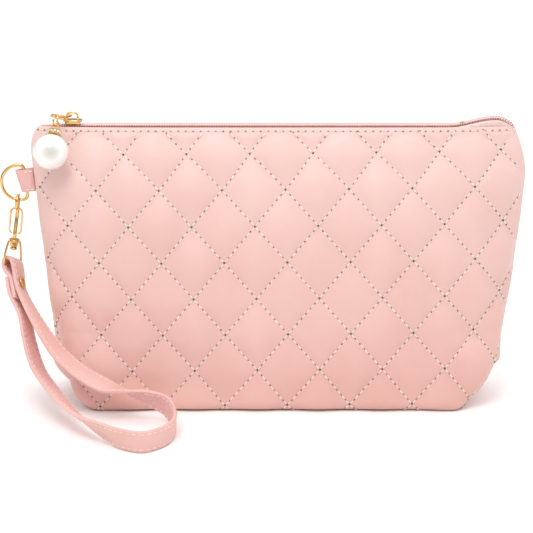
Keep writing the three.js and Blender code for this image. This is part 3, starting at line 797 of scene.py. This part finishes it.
def make_panels():
    """Both faces: leather, fibre, quilting stitches and the row of stitches along the hem."""
    for side_name, front, seed in (("front", -1, 0.3), ("back", 1, 1.7)):
        panel = Panel(front)
        panel_skin(f"{side_name}_panel_quilted", front, panel, seed)
        wadding_skin(f"{side_name}_wadding_fibre", panel, seed)

        def lift(across, up, panel=panel, seed=seed):
            return puff(panel, across, up, seed)

        quilting = (quilt_stitches(), 0.2, QUILT_MARGIN, THREAD_LIFT)
        hem = (top_stitches(panel), 0.12, TOP_STITCH_MARGIN, TOP_THREAD_LIFT)
        for row_name, row, thread in (("quilt", quilting, THREAD), ("top", hem, TOP_THREAD)):
            threads, hole_shades = stitch_row(panel, lift, *row)
            row_name = f"{side_name}_{row_name}"
            add_piece(f"{row_name}_thread", threads, thread, "bag", closed=False)
            add_piece(f"{row_name}_holes", hole_shades, HOLE_SHADE, "bag", closed=False)


def make_base():
    """The flat leather of the base, between the lowest rows of the two faces."""
    front = Panel(-1, rows=60, columns=160).grid[0, 2:-2]
    outline = np.concatenate([front, front[::-1] * [1, -1, 1]])
    rings = []
    for height, inset in ((0.0, 1.0), (0.25, 0.5), (0.9, 0.5), (LEATHER, 1.0)):
        shrink = 1 - inset / np.array([BASE_HALF_LENGTH, BASE_HALF_DEPTH - EDGE_RADIUS])
        ring_points = outline.copy()
        ring_points[:, :2] *= shrink
        ring_points[:, 2] = height
        rings.append(ring_points)
    add_piece("base_panel_leather", loft(rings), PINK, "bag", ("base_panel",))


# ---- zip -------------------------------------------------------------------------------------------
TAPE_Z = 134.7
TAPE_HALF = 0.3            # half the tape's thickness
TAPE_BEND = 0.7
TAPE_FOOT = 132.6          # lower edge of the tape, tucked behind the panel
COIL_Y = 1.45
COIL_HALF_WIDTH = 0.85
COIL_Z = 135.8
ZIP_LEFT = -107.0
ZIP_RIGHT = 114.0
HUMP_START = 81.0
HUMP_PEAK = 104.0
HUMP_HEIGHT = 3.7
END_DIP = 1.2              # how far the closed end goes down below the straight run
TOP_STOP_LIFT = 0.85
BOTTOM_STOP_X = 88.5
BOTTOM_STOP_LIFT = 0.3
TOOTH_PITCH = 1.2
TOOTH_COUNT = int((ZIP_RIGHT - ZIP_LEFT) / TOOTH_PITCH)
TAPE_END = -114.0
TAPE_DROOP_START = -105.0
TAPE_DROOP = 2.6


def zip_lift(x):
    """How far the zip stands above its straight run: a hump at the right, a droop at the left."""
    rise = smooth_step(x, HUMP_START, HUMP_PEAK)
    fall = np.clip((x - HUMP_PEAK) / (ZIP_RIGHT - HUMP_PEAK), 0, 1) ** 2
    droop = np.clip((TAPE_DROOP_START - x) / (TAPE_DROOP_START - TAPE_END), 0, 1) ** 2
    return HUMP_HEIGHT * rise - (HUMP_HEIGHT + END_DIP) * fall - TAPE_DROOP * droop


def tape_section(x, front):
    """One cross-section of the tape: flat by the coil, then down behind the panel's edge."""
    lift = float(zip_lift(x))
    inside = float(half_depth(PANEL_TOP) * bulge(x / half_width(PANEL_TOP), PANEL_TOP)) - LEATHER - GAP
    edge = COIL_Y - COIL_HALF_WIDTH
    outer = max(inside, edge + 1.6)
    z = TAPE_Z + lift
    foot = TAPE_FOOT + lift * 0.5
    centre_y = outer - TAPE_BEND
    centre_z = z + TAPE_HALF - TAPE_BEND

    def bend(radius):
        turn = np.linspace(0, math.pi / 2, 6)
        return [(centre_y + radius * math.sin(t), centre_z + radius * math.cos(t)) for t in turn]

    upper = [(edge, z + TAPE_HALF), *bend(TAPE_BEND), (outer, foot)]
    inner_bend = bend(TAPE_BEND - 2 * TAPE_HALF)
    lower = [(outer - 2 * TAPE_HALF, foot), *reversed(inner_bend), (edge, z - TAPE_HALF)]
    return [(x, front * y, height) for y, height in upper + lower]


def zip_teeth(front):
    """One side's coil turns, which mesh with the other side's in the middle of the zip."""
    teeth = []
    for k in range(TOOTH_COUNT):
        x = ZIP_LEFT + (k + (0.25 if front < 0 else 0.75)) * TOOTH_PITCH
        z = COIL_Z + float(zip_lift(x))
        inner = np.array([x, front * -0.2, z])
        outer = np.array([x + 0.25, front * (COIL_Y + COIL_HALF_WIDTH), z - 0.15])
        teeth.append(capsule(inner, outer, Z_AXIS, 0.46, 1.1, 10))
    return merge(teeth)


def zip_sewing(front):
    """The slanting stitches that hold one side's coil on its tape, dark with painted shade of the gap between
    coil and tape.
    """
    sewing = []
    for k in range(TOOTH_COUNT - 1):
        x = ZIP_LEFT + (k + 0.4) * TOOTH_PITCH
        first = np.array([x, front * (COIL_Y + 1.15), COIL_Z + 0.05 + float(zip_lift(x))])
        second = first + np.array([0.85, -front * 0.45, 0.15])
        sewing.append(capsule(first, second, Z_AXIS, 0.3, 0.9, 6))
    return merge(sewing)


def make_zip():
    along = np.linspace(TAPE_END, ZIP_RIGHT, 260)
    for name, front in (("front", -1), ("back", 1)):
        tape = loft([tape_section(x, front) for x in along])
        add_piece(f"zip_tape_{name}_woven", tape, TAPE, "bag", (f"zip_tape_{name}",))
        coil = f"zip_coil_{name}"
        add_piece(f"{coil}_teeth", zip_teeth(front), NYLON, "bag", (coil,), closed=False)
        sewing = zip_sewing(front)
        add_piece(f"zip_sewing_{name}", sewing, SEWING_AND_GAP_SHADE, "bag", closed=False)


# ---- metal pieces -----------------------------------------------------------------------------------
SLIDER_X = -98.5
SLIDER_TOP = 138.6
SLIDER_BOTTOM = 133.1
PLATE_THICK = 0.9
CROWN_X = -98.8
CROWN_HALF = 2.6
CROWN_TOP = 142.0
CROWN_WIRE = 0.45
# centre, radius and wire radius of the charm's loops
RING_1 = (np.array([-102.0, -1.7, 140.3]), 3.0, 0.46)
RING_2 = (np.array([-104.9, -5.7, 140.9]), 3.3, 0.41)
RING_3 = (np.array([-105.9, -9.7, 139.6]), 2.5, 0.4)
EYE = (np.array([-105.8, -11.6, 136.9]), 1.5, 0.4)
DROP = unit([-0.1, -0.68, -0.72])
RONDELLE_RADIUS = 3.6
RONDELLE_HALF = 1.4
RONDELLE = EYE[0] + DROP * (EYE[1] + EYE[2] + GAP + RONDELLE_HALF)
PEARL_RADIUS = 8.4
BAR_CENTRE = np.array([-122.3, 0, 108.0])
BAR_UP = unit([-0.105, 0, 0.995])
BAR_OUT = np.array([-BAR_UP[2], 0, BAR_UP[0]])
D_WIRE = 0.8
D_BAR_HALF = 6.6
D_CORNER = 2.0
D_HALF_HEIGHT = 8.6
D_CENTRE_OUT = 3.2
D_REACH = 11.6
HANG = unit([0.117, 0, 0.993])
D_BOTTOM = np.array([-126.35, 0, 99.05])
COLLAR_DROP = 21.6
COLLAR = D_BOTTOM - COLLAR_DROP * HANG
STEM_Y = 2.6
CROOK_UP = 21              # height of the crook's centre above the collar
HOOK_WIRE = 0.95
GATE_WIRE = 0.48
GATE_HALF = 2.8
GATE_LEAN = 0.085
ACROSS = np.array([HANG[2], 0, -HANG[0]])
BAIL_SIDE = unit([0.57, 0.79, -0.24])
FOLD_SIDE = unit([0.42, 0.80, -0.42])
FOLD_SLACK = 0.6
BAIL_DROP = 10.8
BAIL_WIRE = 0.55
BAIL_BAR = COLLAR - BAIL_DROP * HANG


def rounded_plate(centre, length, width, thick, power=3.2, bevel=0.25, segments=48):
    """A flat plate with a super-elliptic outline and softened edges."""
    angle = np.linspace(0, 2 * math.pi, segments, endpoint=False)
    c, s = np.cos(angle), np.sin(angle)
    outline = np.stack([np.sign(c) * np.abs(c) ** (2 / power), np.sign(s) * np.abs(s) ** (2 / power)], axis=1)
    rings = []
    for share, inset in ((-1, bevel), (-1 + 0.5 * bevel / thick, bevel * 0.3), (-1 + 2 * bevel / thick, 0),
                         (1 - 2 * bevel / thick, 0), (1 - 0.5 * bevel / thick, bevel * 0.3), (1, bevel)):
        size = np.array([length / 2 - inset, width / 2 - inset])
        flat = outline * size
        rings.append(np.column_stack([flat, np.full(segments, share * thick / 2)]) + centre)
    return loft(rings)


def make_slider():
    """Two plates joined by a post, with rims along the upper plate and a knob at each crown foot."""
    def plate(x, y, z, *sizes):
        return rounded_plate(np.array([x, y, z]), *sizes)

    top = plate(SLIDER_X, 0, SLIDER_TOP - PLATE_THICK / 2, 9.2, 6.0, PLATE_THICK)
    under = plate(SLIDER_X, 0, SLIDER_BOTTOM + PLATE_THICK / 2, 7.8, 5.1, PLATE_THICK)
    post = plate(SLIDER_X + 2, 0, (SLIDER_TOP + SLIDER_BOTTOM) / 2, 3.0, 0.6, 4.6, 2.5, 0.1, 24)
    rims = [plate(SLIDER_X, side * 2.75, SLIDER_TOP - 1.3, 7.4, 0.5, 1.1, 4, 0.1, 24) for side in (-1, 1)]
    profile = [(0, 0), (1.0, 0.02), (1.15, 0.3), (0.95, 0.65), (0.5, 0.85), (0, 0.9)]
    feet = [np.array([CROWN_X + side * CROWN_HALF, 0, SLIDER_TOP - 0.2]) for side in (-1, 1)]
    knobs = [turned(profile, foot, Z_AXIS, 24) for foot in feet]
    body = merge([top, under, post, *rims, *knobs])
    gold("slider_body_polished", body, "slider", "slider_body", closed=False)


def make_crown():
    """The bow on the slider's top that holds the first ring."""
    foot = SLIDER_TOP + GAP
    spring = CROWN_TOP - CROWN_HALF * 0.55
    angle = np.linspace(math.pi, 0, 25)
    arch = np.column_stack([CROWN_X + CROWN_HALF * np.cos(angle), 0 * angle,
                            spring + (CROWN_TOP - spring) * np.sin(angle)])
    path = np.vstack([[CROWN_X - CROWN_HALF, 0, foot], arch, [CROWN_X + CROWN_HALF, 0, foot]])
    gold("slider_crown_polished", tube(path, CROWN_WIRE, Y_AXIS), "slider", "slider_crown")


def make_stops():
    """The two small stops at the open end of the zip and the wider one at the closed end."""
    for name, side in (("front", -1), ("back", 1)):
        place = np.array([ZIP_LEFT + 1, side * COIL_Y, COIL_Z + TOP_STOP_LIFT])
        stop = f"zip_top_stop_{name}"
        gold(f"{stop}_metal", rounded_plate(place, 1.6, 1.6, 0.8, 4, 0.15), "bag", stop)
    place = np.array([BOTTOM_STOP_X, 0, COIL_Z + BOTTOM_STOP_LIFT + float(zip_lift(BOTTOM_STOP_X))])
    gold("zip_bottom_stop_metal", rounded_plate(place, 2.4, 2.6, 0.5, 5, 0.1), "bag", "zip_bottom_stop")


def tilted(along, degrees):
    """The direction square to a given one, turned by an angle from level towards upright."""
    across = unit(np.cross(Z_AXIS, along))
    up = unit(np.cross(along, across))
    angle = math.radians(degrees)
    return across * math.cos(angle) + up * math.sin(angle)


def make_charm_loops():
    """Three jump rings and the eye of the drop, threaded through each other."""
    to_second = unit(RING_2[0] - RING_1[0])
    ahead = unit(RING_3[0] - RING_2[0])
    loops = (("charm_ring_1", "ring_1", RING_1, to_second, tilted(to_second, 18)),
             ("charm_ring_2", "ring_2", RING_2, to_second, tilted(to_second, -12)),
             ("charm_ring_3", "ring_3", RING_3, ahead, unit(Z_AXIS - ahead * ahead[2])),
             ("charm_eye", "drop", EYE, DROP, X_AXIS))
    for name, body, (centre, radius, wire), a, b in loops:
        b = unit(b - a * np.dot(a, b))
        gold(f"{name}_polished", ring(centre, a, b, radius, wire), body, name)


def around_drop(count, offset=0.0):
    """Directions square to the drop's line, evenly spaced; offset is a share of one space."""
    a, b = square_to(DROP, Y_AXIS)
    angles = [2 * math.pi * (k + offset) / count for k in range(count)]
    return [a * math.cos(angle) + b * math.sin(angle) for angle in angles]


def make_rondelle():
    """A gold cup with a ring of cut stones between two rows of tiny beads."""
    r, h = RONDELLE_RADIUS, RONDELLE_HALF
    lower = [(0, -h), (r - 1.3, -h), (r - 0.75, -h * 0.97), (r - 0.3, -h * 0.85), (r - 0.25, -h * 0.6),
             (r - 0.8, -h * 0.5)]
    upper = [(radius, -height) for radius, height in reversed(lower)]
    gold("charm_rondelle_gold", turned(lower + upper, RONDELLE, DROP, 64), "drop", "charm_rondelle")
    cut = [(0, -0.5), (0.35, -0.3), (0.72, 0.1), (0.62, 0.28), (0.38, 0.42), (0, 0.44)]
    stones = [turned(cut, RONDELLE + out * (r - 0.45), out, 8) for out in around_drop(13)]
    add_piece("charm_rondelle_stones", merge(stones), STONE, "drop", smooth=False, closed=False)
    bead = [(0, -0.3), (0.2, -0.18), (0.27, 0), (0.2, 0.18), (0, 0.3)]
    beads = [turned(bead, RONDELLE + DROP * height + out * (r - 0.2), out, 8)
             for height in (-h * 0.75, h * 0.75) for out in around_drop(26, 0.5)]
    gold("charm_rondelle_beads", merge(beads), "drop", closed=False)


def make_pearl():
    arc = np.linspace(-math.pi / 2, math.pi / 2, 49)[1:-1]
    profile = [(PEARL_RADIUS * math.cos(t), PEARL_RADIUS * math.sin(t)) for t in arc]
    profile = [(0, -PEARL_RADIUS), *profile, (0, PEARL_RADIUS)]
    centre = RONDELLE + DROP * (RONDELLE_HALF + GAP + PEARL_RADIUS)
    ball = turned(profile, centre, DROP, 72)
    add_piece("charm_pearl_coated", ball, PEARL, "drop", ("charm_pearl",))


def d_ring_path():
    """Middle of the D-ring's wire: the straight bar, two corners and half an ellipse."""
    def at(out, up):
        return BAR_CENTRE + BAR_OUT * out + BAR_UP * up

    def corner(sign, degrees):
        angle = math.radians(degrees)
        return at(D_CORNER * (1 - math.cos(angle)), sign * (D_BAR_HALF + D_CORNER * math.sin(angle)))

    path = [at(0, up) for up in (-3.3, 0, 3.3)]
    path += [corner(1, degrees) for degrees in range(0, 90, 12)]
    reach = D_REACH - D_CENTRE_OUT
    for angle in np.linspace(math.pi / 2, -math.pi / 2, 49):
        path.append(at(D_CENTRE_OUT + reach * math.cos(angle), D_HALF_HEIGHT * math.sin(angle)))
    path += [corner(-1, degrees) for degrees in range(84, -1, -12)]
    return path


def hook_point(across, y, up):
    """A point of the hook, measured from the swivel's collar; up is towards the D-ring."""
    return COLLAR + HANG * up + ACROSS * across + Y_AXIS * y


def make_d_ring():
    wire = tube(d_ring_path(), D_WIRE, Y_AXIS, closed=True, sides=18)
    gold("d_ring_polished", wire, "d_ring", "d_ring")


def make_hook():
    """A cast hook: stem, round crook and open tip, with a turned head under the collar."""
    stem = spline([hook_point(0, y, up) for y, up in
                   ((0, -3.0), (0, 2.6), (0.1, 5), (1.3, 8), (2.3, 11), (STEM_Y, 14), (STEM_Y, CROOK_UP))], 6)
    crook = [hook_point(0, STEM_Y * math.cos(t), CROOK_UP + STEM_Y * math.sin(t))
             for t in np.linspace(0.12, math.pi, 22)]
    tip = [hook_point(0, -STEM_Y - 0.03, 19.4), hook_point(0, -STEM_Y - 0.1, 17.6)]
    hook = tube(np.vstack([stem, crook, tip]), HOOK_WIRE, ACROSS, sides=18)
    profile = [(0, -3.6), (1.35, -3.55), (1.7, -3.3), (1.7, -2.6), (1.4, -2.3), (0, -2.3)]
    head = turned(profile, COLLAR, HANG, 32)
    gold("hook_body_cast", merge([hook, head]), "hook", "hook_body", closed=False)


def make_gate():
    """The sprung wire gate: two legs beside the stem, joined by an arch at the hook's tip."""
    pivot_up, straight_up = 5.2, 15

    def at(across, up):
        return hook_point(across, 0.1 - GATE_LEAN * (up - pivot_up), up)

    legs = [(1.35, 5.0), (2.2, 5.1), (GATE_HALF, 6), (GATE_HALF, 10), (GATE_HALF, straight_up)]
    right = [at(across, up) for across, up in legs]
    left = [at(-across, up) for across, up in reversed(legs)]
    arch = [at(GATE_HALF * math.cos(t), straight_up + GATE_HALF * math.sin(t))
            for t in np.linspace(0, math.pi, 18)[1:-1]]
    gold("hook_gate_spring", tube(spline(right + arch + left, 3), GATE_WIRE, Y_AXIS), "gate", "hook_gate")


def make_swivel():
    """The collar that turns on the hook's head, and the wire bail that hangs from it."""
    bore, waist, flange, half_high = 1.25, 1.9, 2.7, 1.9
    profile = [(bore, -half_high), (waist - 0.3, -half_high), (waist, -half_high + 0.3), (waist, 0.3),
               (flange - 0.15, 0.55), (flange, 0.8), (flange, half_high - 0.3), (flange - 0.25, half_high),
               (bore, half_high)]
    spin = circle(ACROSS, Y_AXIS, 48)
    rings = [[COLLAR + HANG * h + s * r for r, h in profile] for s in spin]
    gold("swivel_collar_cast", loft(rings, closed=True), "swivel", "swivel_collar")

    side = [(2.9, 1.3), (3.5, 1.1), (4.3, -0.4), (5.0, -2.8), (5.6, -5.6), (5.95, -8.6), (5.85, -10.2),
            (5.2, -BAIL_DROP)]
    right = [COLLAR + BAIL_SIDE * across + HANG * up for across, up in side]
    left = [COLLAR - BAIL_SIDE * across + HANG * up for across, up in reversed(side)]
    bail = tube(spline(right + left, 8), BAIL_WIRE, unit(np.cross(BAIL_SIDE, HANG)))
    gold("bail_ring_wire", bail, "swivel", "bail_ring")


TAB_SLANT = 2.2
TAB_REACH = 4.6
TAB_HALF = 5.5
TAB_RAISE = 0.8            # the tab's middle lies this much above the bar's


def make_tab():
    """The folded leather tab that holds the D-ring's bar."""
    inner = D_WIRE + GAP
    outer = inner + LEATHER
    y_dir = np.cross(BAR_UP, BAR_OUT)
    centre = BAR_CENTRE + BAR_UP * TAB_RAISE
    turn = np.radians(np.linspace(-90, 90, 25))
    middle = (inner + outer) / 2
    path = [(-TAB_REACH, -middle), (-TAB_REACH * 0.5, -middle)]
    path += [(middle * math.cos(t), middle * math.sin(t)) for t in turn]
    path += [(-TAB_REACH * 0.5, middle), (-TAB_REACH, middle)]
    path = np.array(path)
    tangent = unit_rows(np.gradient(path, axis=0))
    face = np.stack([tangent[:, 1], -tangent[:, 0]], axis=1)
    section = band_section(2 * TAB_HALF, LEATHER, 0.4)
    rings = []
    for (x, y), (nx, ny) in zip(path, face):
        slant = TAB_SLANT * (x + TAB_REACH) / (TAB_REACH + outer)
        rings.append([centre + BAR_UP * w + BAR_OUT * (x + nx * t + slant * (w / TAB_HALF + 1) / 2)
                      + y_dir * (y + ny * t) for w, t in section])
    add_piece("side_tab_leather", loft(rings), STRAP_PINK, "bag", ("side_tab",))
    threads = []
    for up in (1.1 - TAB_HALF, TAB_HALF - 1.1):
        for side in (-1, 1):
            for k in range(2):
                first = centre + BAR_UP * up + BAR_OUT * (-0.4 - 2.1 * k) + y_dir * side * (outer + 0.1)
                second = first + BAR_OUT * -1.7
                threads.append(capsule(first, second, y_dir * side, EDGE_THREAD_RADIUS, THREAD_FLATNESS, 6))
    add_piece("side_tab_thread", merge(threads), THREAD, "bag", closed=False)


# ---- wristlet strap -----------------------------------------------------------------------------------
STRAP_WIDTH = 10.5
STRAP_THICK = 1.8
LAYER = STRAP_THICK + GAP
STRAP_UP = unit([-0.20, 0.57, 0.79])
STRAP_SIDE = unit([0.30, 0.86, -0.42])
STRAP_FACE = unit(np.cross(STRAP_SIDE, STRAP_UP))
RIVET_DROP = 11.0
RIVET = BAIL_BAR - RIVET_DROP * STRAP_UP
STRAP_SMOOTHING = 12
INNER_FACE = 3             # which flat of the band's section looks inwards
STRAP_PITCH = 3.1


def band_section(width, thick, edge):
    """Outline of a flat band with rounded edges."""
    corners = []
    for sx, sy, start in ((1, 1, 0), (-1, 1, 90), (-1, -1, 180), (1, -1, 270)):
        for degrees in (0, 30, 60, 90):
            angle = math.radians(start + degrees)
            corners.append((sx * (width / 2 - edge) + edge * math.cos(angle),
                            sy * (thick / 2 - edge) + edge * math.sin(angle)))
    return corners


def strap_stations():
    """Middle of the band and the way its inner face looks, from one end to the other."""
    def near(down, layer, side=0.0, inward=1):
        share = min(max(1 + down / RIVET_DROP, 0), 1)
        wide = unit(FOLD_SIDE * (1 - share) + STRAP_SIDE * share)
        face = unit(np.cross(wide, STRAP_UP))
        return RIVET - STRAP_UP * down + face * layer * LAYER + wide * side, face * inward

    def bar(degrees):
        angle = math.radians(degrees)
        radius = BAIL_WIRE + GAP + FOLD_SLACK + STRAP_THICK / 2
        up = unit(STRAP_UP - FOLD_SIDE * np.dot(STRAP_UP, FOLD_SIDE))
        face = np.cross(FOLD_SIDE, up)
        away = face * math.cos(angle) + up * math.sin(angle)
        return BAIL_BAR + away * radius, -away

    loop = [
        ((-123.5, -13.5, 44.5), (0.85, -0.2, 0.45)),
        ((-120.3, -20, 33), (0.8, -0.25, 0.5)),
        ((-115.6, -28.5, 22.5), (0.72, -0.2, 0.65)),
        ((-108.5, -38, 16), (0.6, -0.05, 0.8)),
        ((-100.5, -49, 11), (0.5, 0.15, 0.85)),
        ((-92, -60, 7.8), (0.4, 0.45, 0.8)),
        ((-81.5, -71, 6.1), (0.3, 0.85, 0.4)),
        ((-71.5, -80, 5.4), (0.15, 1, 0.15)),
        ((-62, -83.6, 5.4), (-0.1, 1, 0.1)),
        ((-53.5, -77, 5.4), (-0.75, 0.65, 0.1)),
        ((-49, -66, 5.5), (-1, 0.1, 0.1)),
        ((-49.2, -55, 6.5), (-0.95, -0.3, 0.05)),
        ((-53.5, -45.5, 9.5), (-0.5, -0.85, -0.1)),
        ((-62, -42.5, 12.2), (-0.15, -0.9, -0.5)),
        ((-72, -41, 14.5), (-0.1, -0.4, -0.9)),
        ((-83, -38.5, 17), (-0.35, 0.45, -0.8)),
        ((-94, -34.5, 22), (-0.55, 0.5, -0.65)),
        ((-104.5, -29, 29.5), (-0.65, 0.45, -0.6)),
        ((-113, -22.5, 39), (-0.75, 0.3, -0.55)),
    ]
    return ([near(-3.2, -1), near(0, -1), near(4, -1)]
            + [(np.array(p, float), unit(w)) for p, w in loop]
            + [near(5, 1.2, 0.6, -1), near(0, 1, 0, -1), near(-6, 1.2, 0, -1)]
            + [bar(degrees) for degrees in (0, 60, 120, 180)]
            + [near(-7, -1.0), near(-3, -0.15), near(0, 0), near(8, 0.05)])


def strap_frames(steps=10):
    """Middle, width direction and face direction at each step along the band."""
    stations = strap_stations()
    middle = spline([p for p, _ in stations], steps)
    hints = np.array([inward for _, inward in stations])
    at = np.minimum(np.arange(len(middle)) / steps, len(stations) - 1)
    face = np.column_stack([np.interp(at, np.arange(len(stations)), hints[:, k]) for k in range(3)])
    along = unit_rows(np.gradient(middle, axis=0))
    for _ in range(STRAP_SMOOTHING):
        face[1:-1] = (face[:-2] + 2 * face[1:-1] + face[2:]) / 4
        face -= along * np.sum(face * along, axis=1)[:, None]
        face = unit_rows(face)
    return middle, np.cross(face, along), face


def strap_threads(middle, wide, face):
    """Stitches along both edges of the band, on both faces."""
    length = np.concatenate([[0], np.cumsum(np.linalg.norm(np.diff(middle, axis=0), axis=1))])
    count = int(length[-1] / STRAP_PITCH)

    def at(share):
        s = share * length[-1] / count
        return [np.array([np.interp(s, length, row[:, i]) for i in range(3)]) for row in (middle, wide, face)]

    threads = []
    for k in range(1, count - 1):
        ends = [at(k + 0.14), at(k + 0.86)]
        for across in (1.4 - STRAP_WIDTH / 2, STRAP_WIDTH / 2 - 1.4):
            for side in (-1, 1):
                first, second = (m + w * across + f * side * (STRAP_THICK / 2 + 0.05) for m, w, f in ends)
                out = ends[0][2] * side
                threads.append(capsule(first, second, out, EDGE_THREAD_RADIUS, THREAD_FLATNESS, 6))
    return merge(threads)


def make_strap():
    """The long band folded round the bail, with a lighter inner face and its stitches."""
    middle, wide, face = strap_frames()
    section = band_section(STRAP_WIDTH, STRAP_THICK, 0.6)
    rings = [[m + w * a + f * b for a, b in section] for m, w, f in zip(middle, wide, face)]
    strap = add_piece("wrist_strap_leather", loft(rings), STRAP_PINK, "strap", ("wrist_strap",))
    strap.data.materials.append(STRAP_INNER)
    for polygon in strap.data.polygons[:(len(rings) - 1) * len(section)]:
        if polygon.index % len(section) == INNER_FACE:
            polygon.material_index = 1
    threads = strap_threads(middle, wide, face)
    add_piece("wrist_strap_thread", threads, STRAP_THREAD, "strap", closed=False)


def make_rivet():
    """A domed cap and a flat back, each with its shank, on either side of the stacked bands."""
    face_out = LAYER + STRAP_THICK / 2 + 2 * GAP

    def on_axis(profile, sides):
        return turned(profile, RIVET, STRAP_FACE, sides)

    dome = [(0, 0), (2.7, 0), (2.95, 0.15), (2.9, 0.4), (2.5, 0.75), (1.7, 1.1), (0.8, 1.27), (0, 1.3)]
    cap = on_axis([(radius, face_out + rise) for radius, rise in dome], 40)
    shank = on_axis([(0, -0.8), (0.9, -0.8), (0.9, face_out + 0.3), (0, face_out + 0.3)], 24)
    gold("rivet_cap_domed", merge([cap, shank]), "strap", "rivet_cap", closed=False)
    disc = [(0, -0.7), (2.3, -0.65), (2.7, -0.4), (2.7, 0), (0, 0)]
    back = on_axis([(radius, rise - face_out) for radius, rise in disc], 40)
    tube_end = on_axis([(0, -face_out - 0.1), (1.1, -face_out - 0.1), (1.1, -1.1), (0, -1.1)], 24)
    gold("rivet_back_flat", merge([back, tube_end]), "strap", "rivet_back", closed=False)


def dress_frame():
    """Materials for the CAD nodes that stay: the lining and the base's hidden wadding."""
    for name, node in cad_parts.items():
        if name.endswith("_wadding"):
            material = FIBRE
        elif name.endswith("_lining"):
            material = LINING
        else:
            continue
        node.data.materials.clear()
        node.data.materials.append(material)


make_camera()
make_studio()
make_panels()
make_base()
make_zip()
make_slider()
make_crown()
make_stops()
make_charm_loops()
make_rondelle()
make_pearl()
make_d_ring()
make_hook()
make_gate()
make_swivel()
make_tab()
make_strap()
make_rivet()
dress_frame()
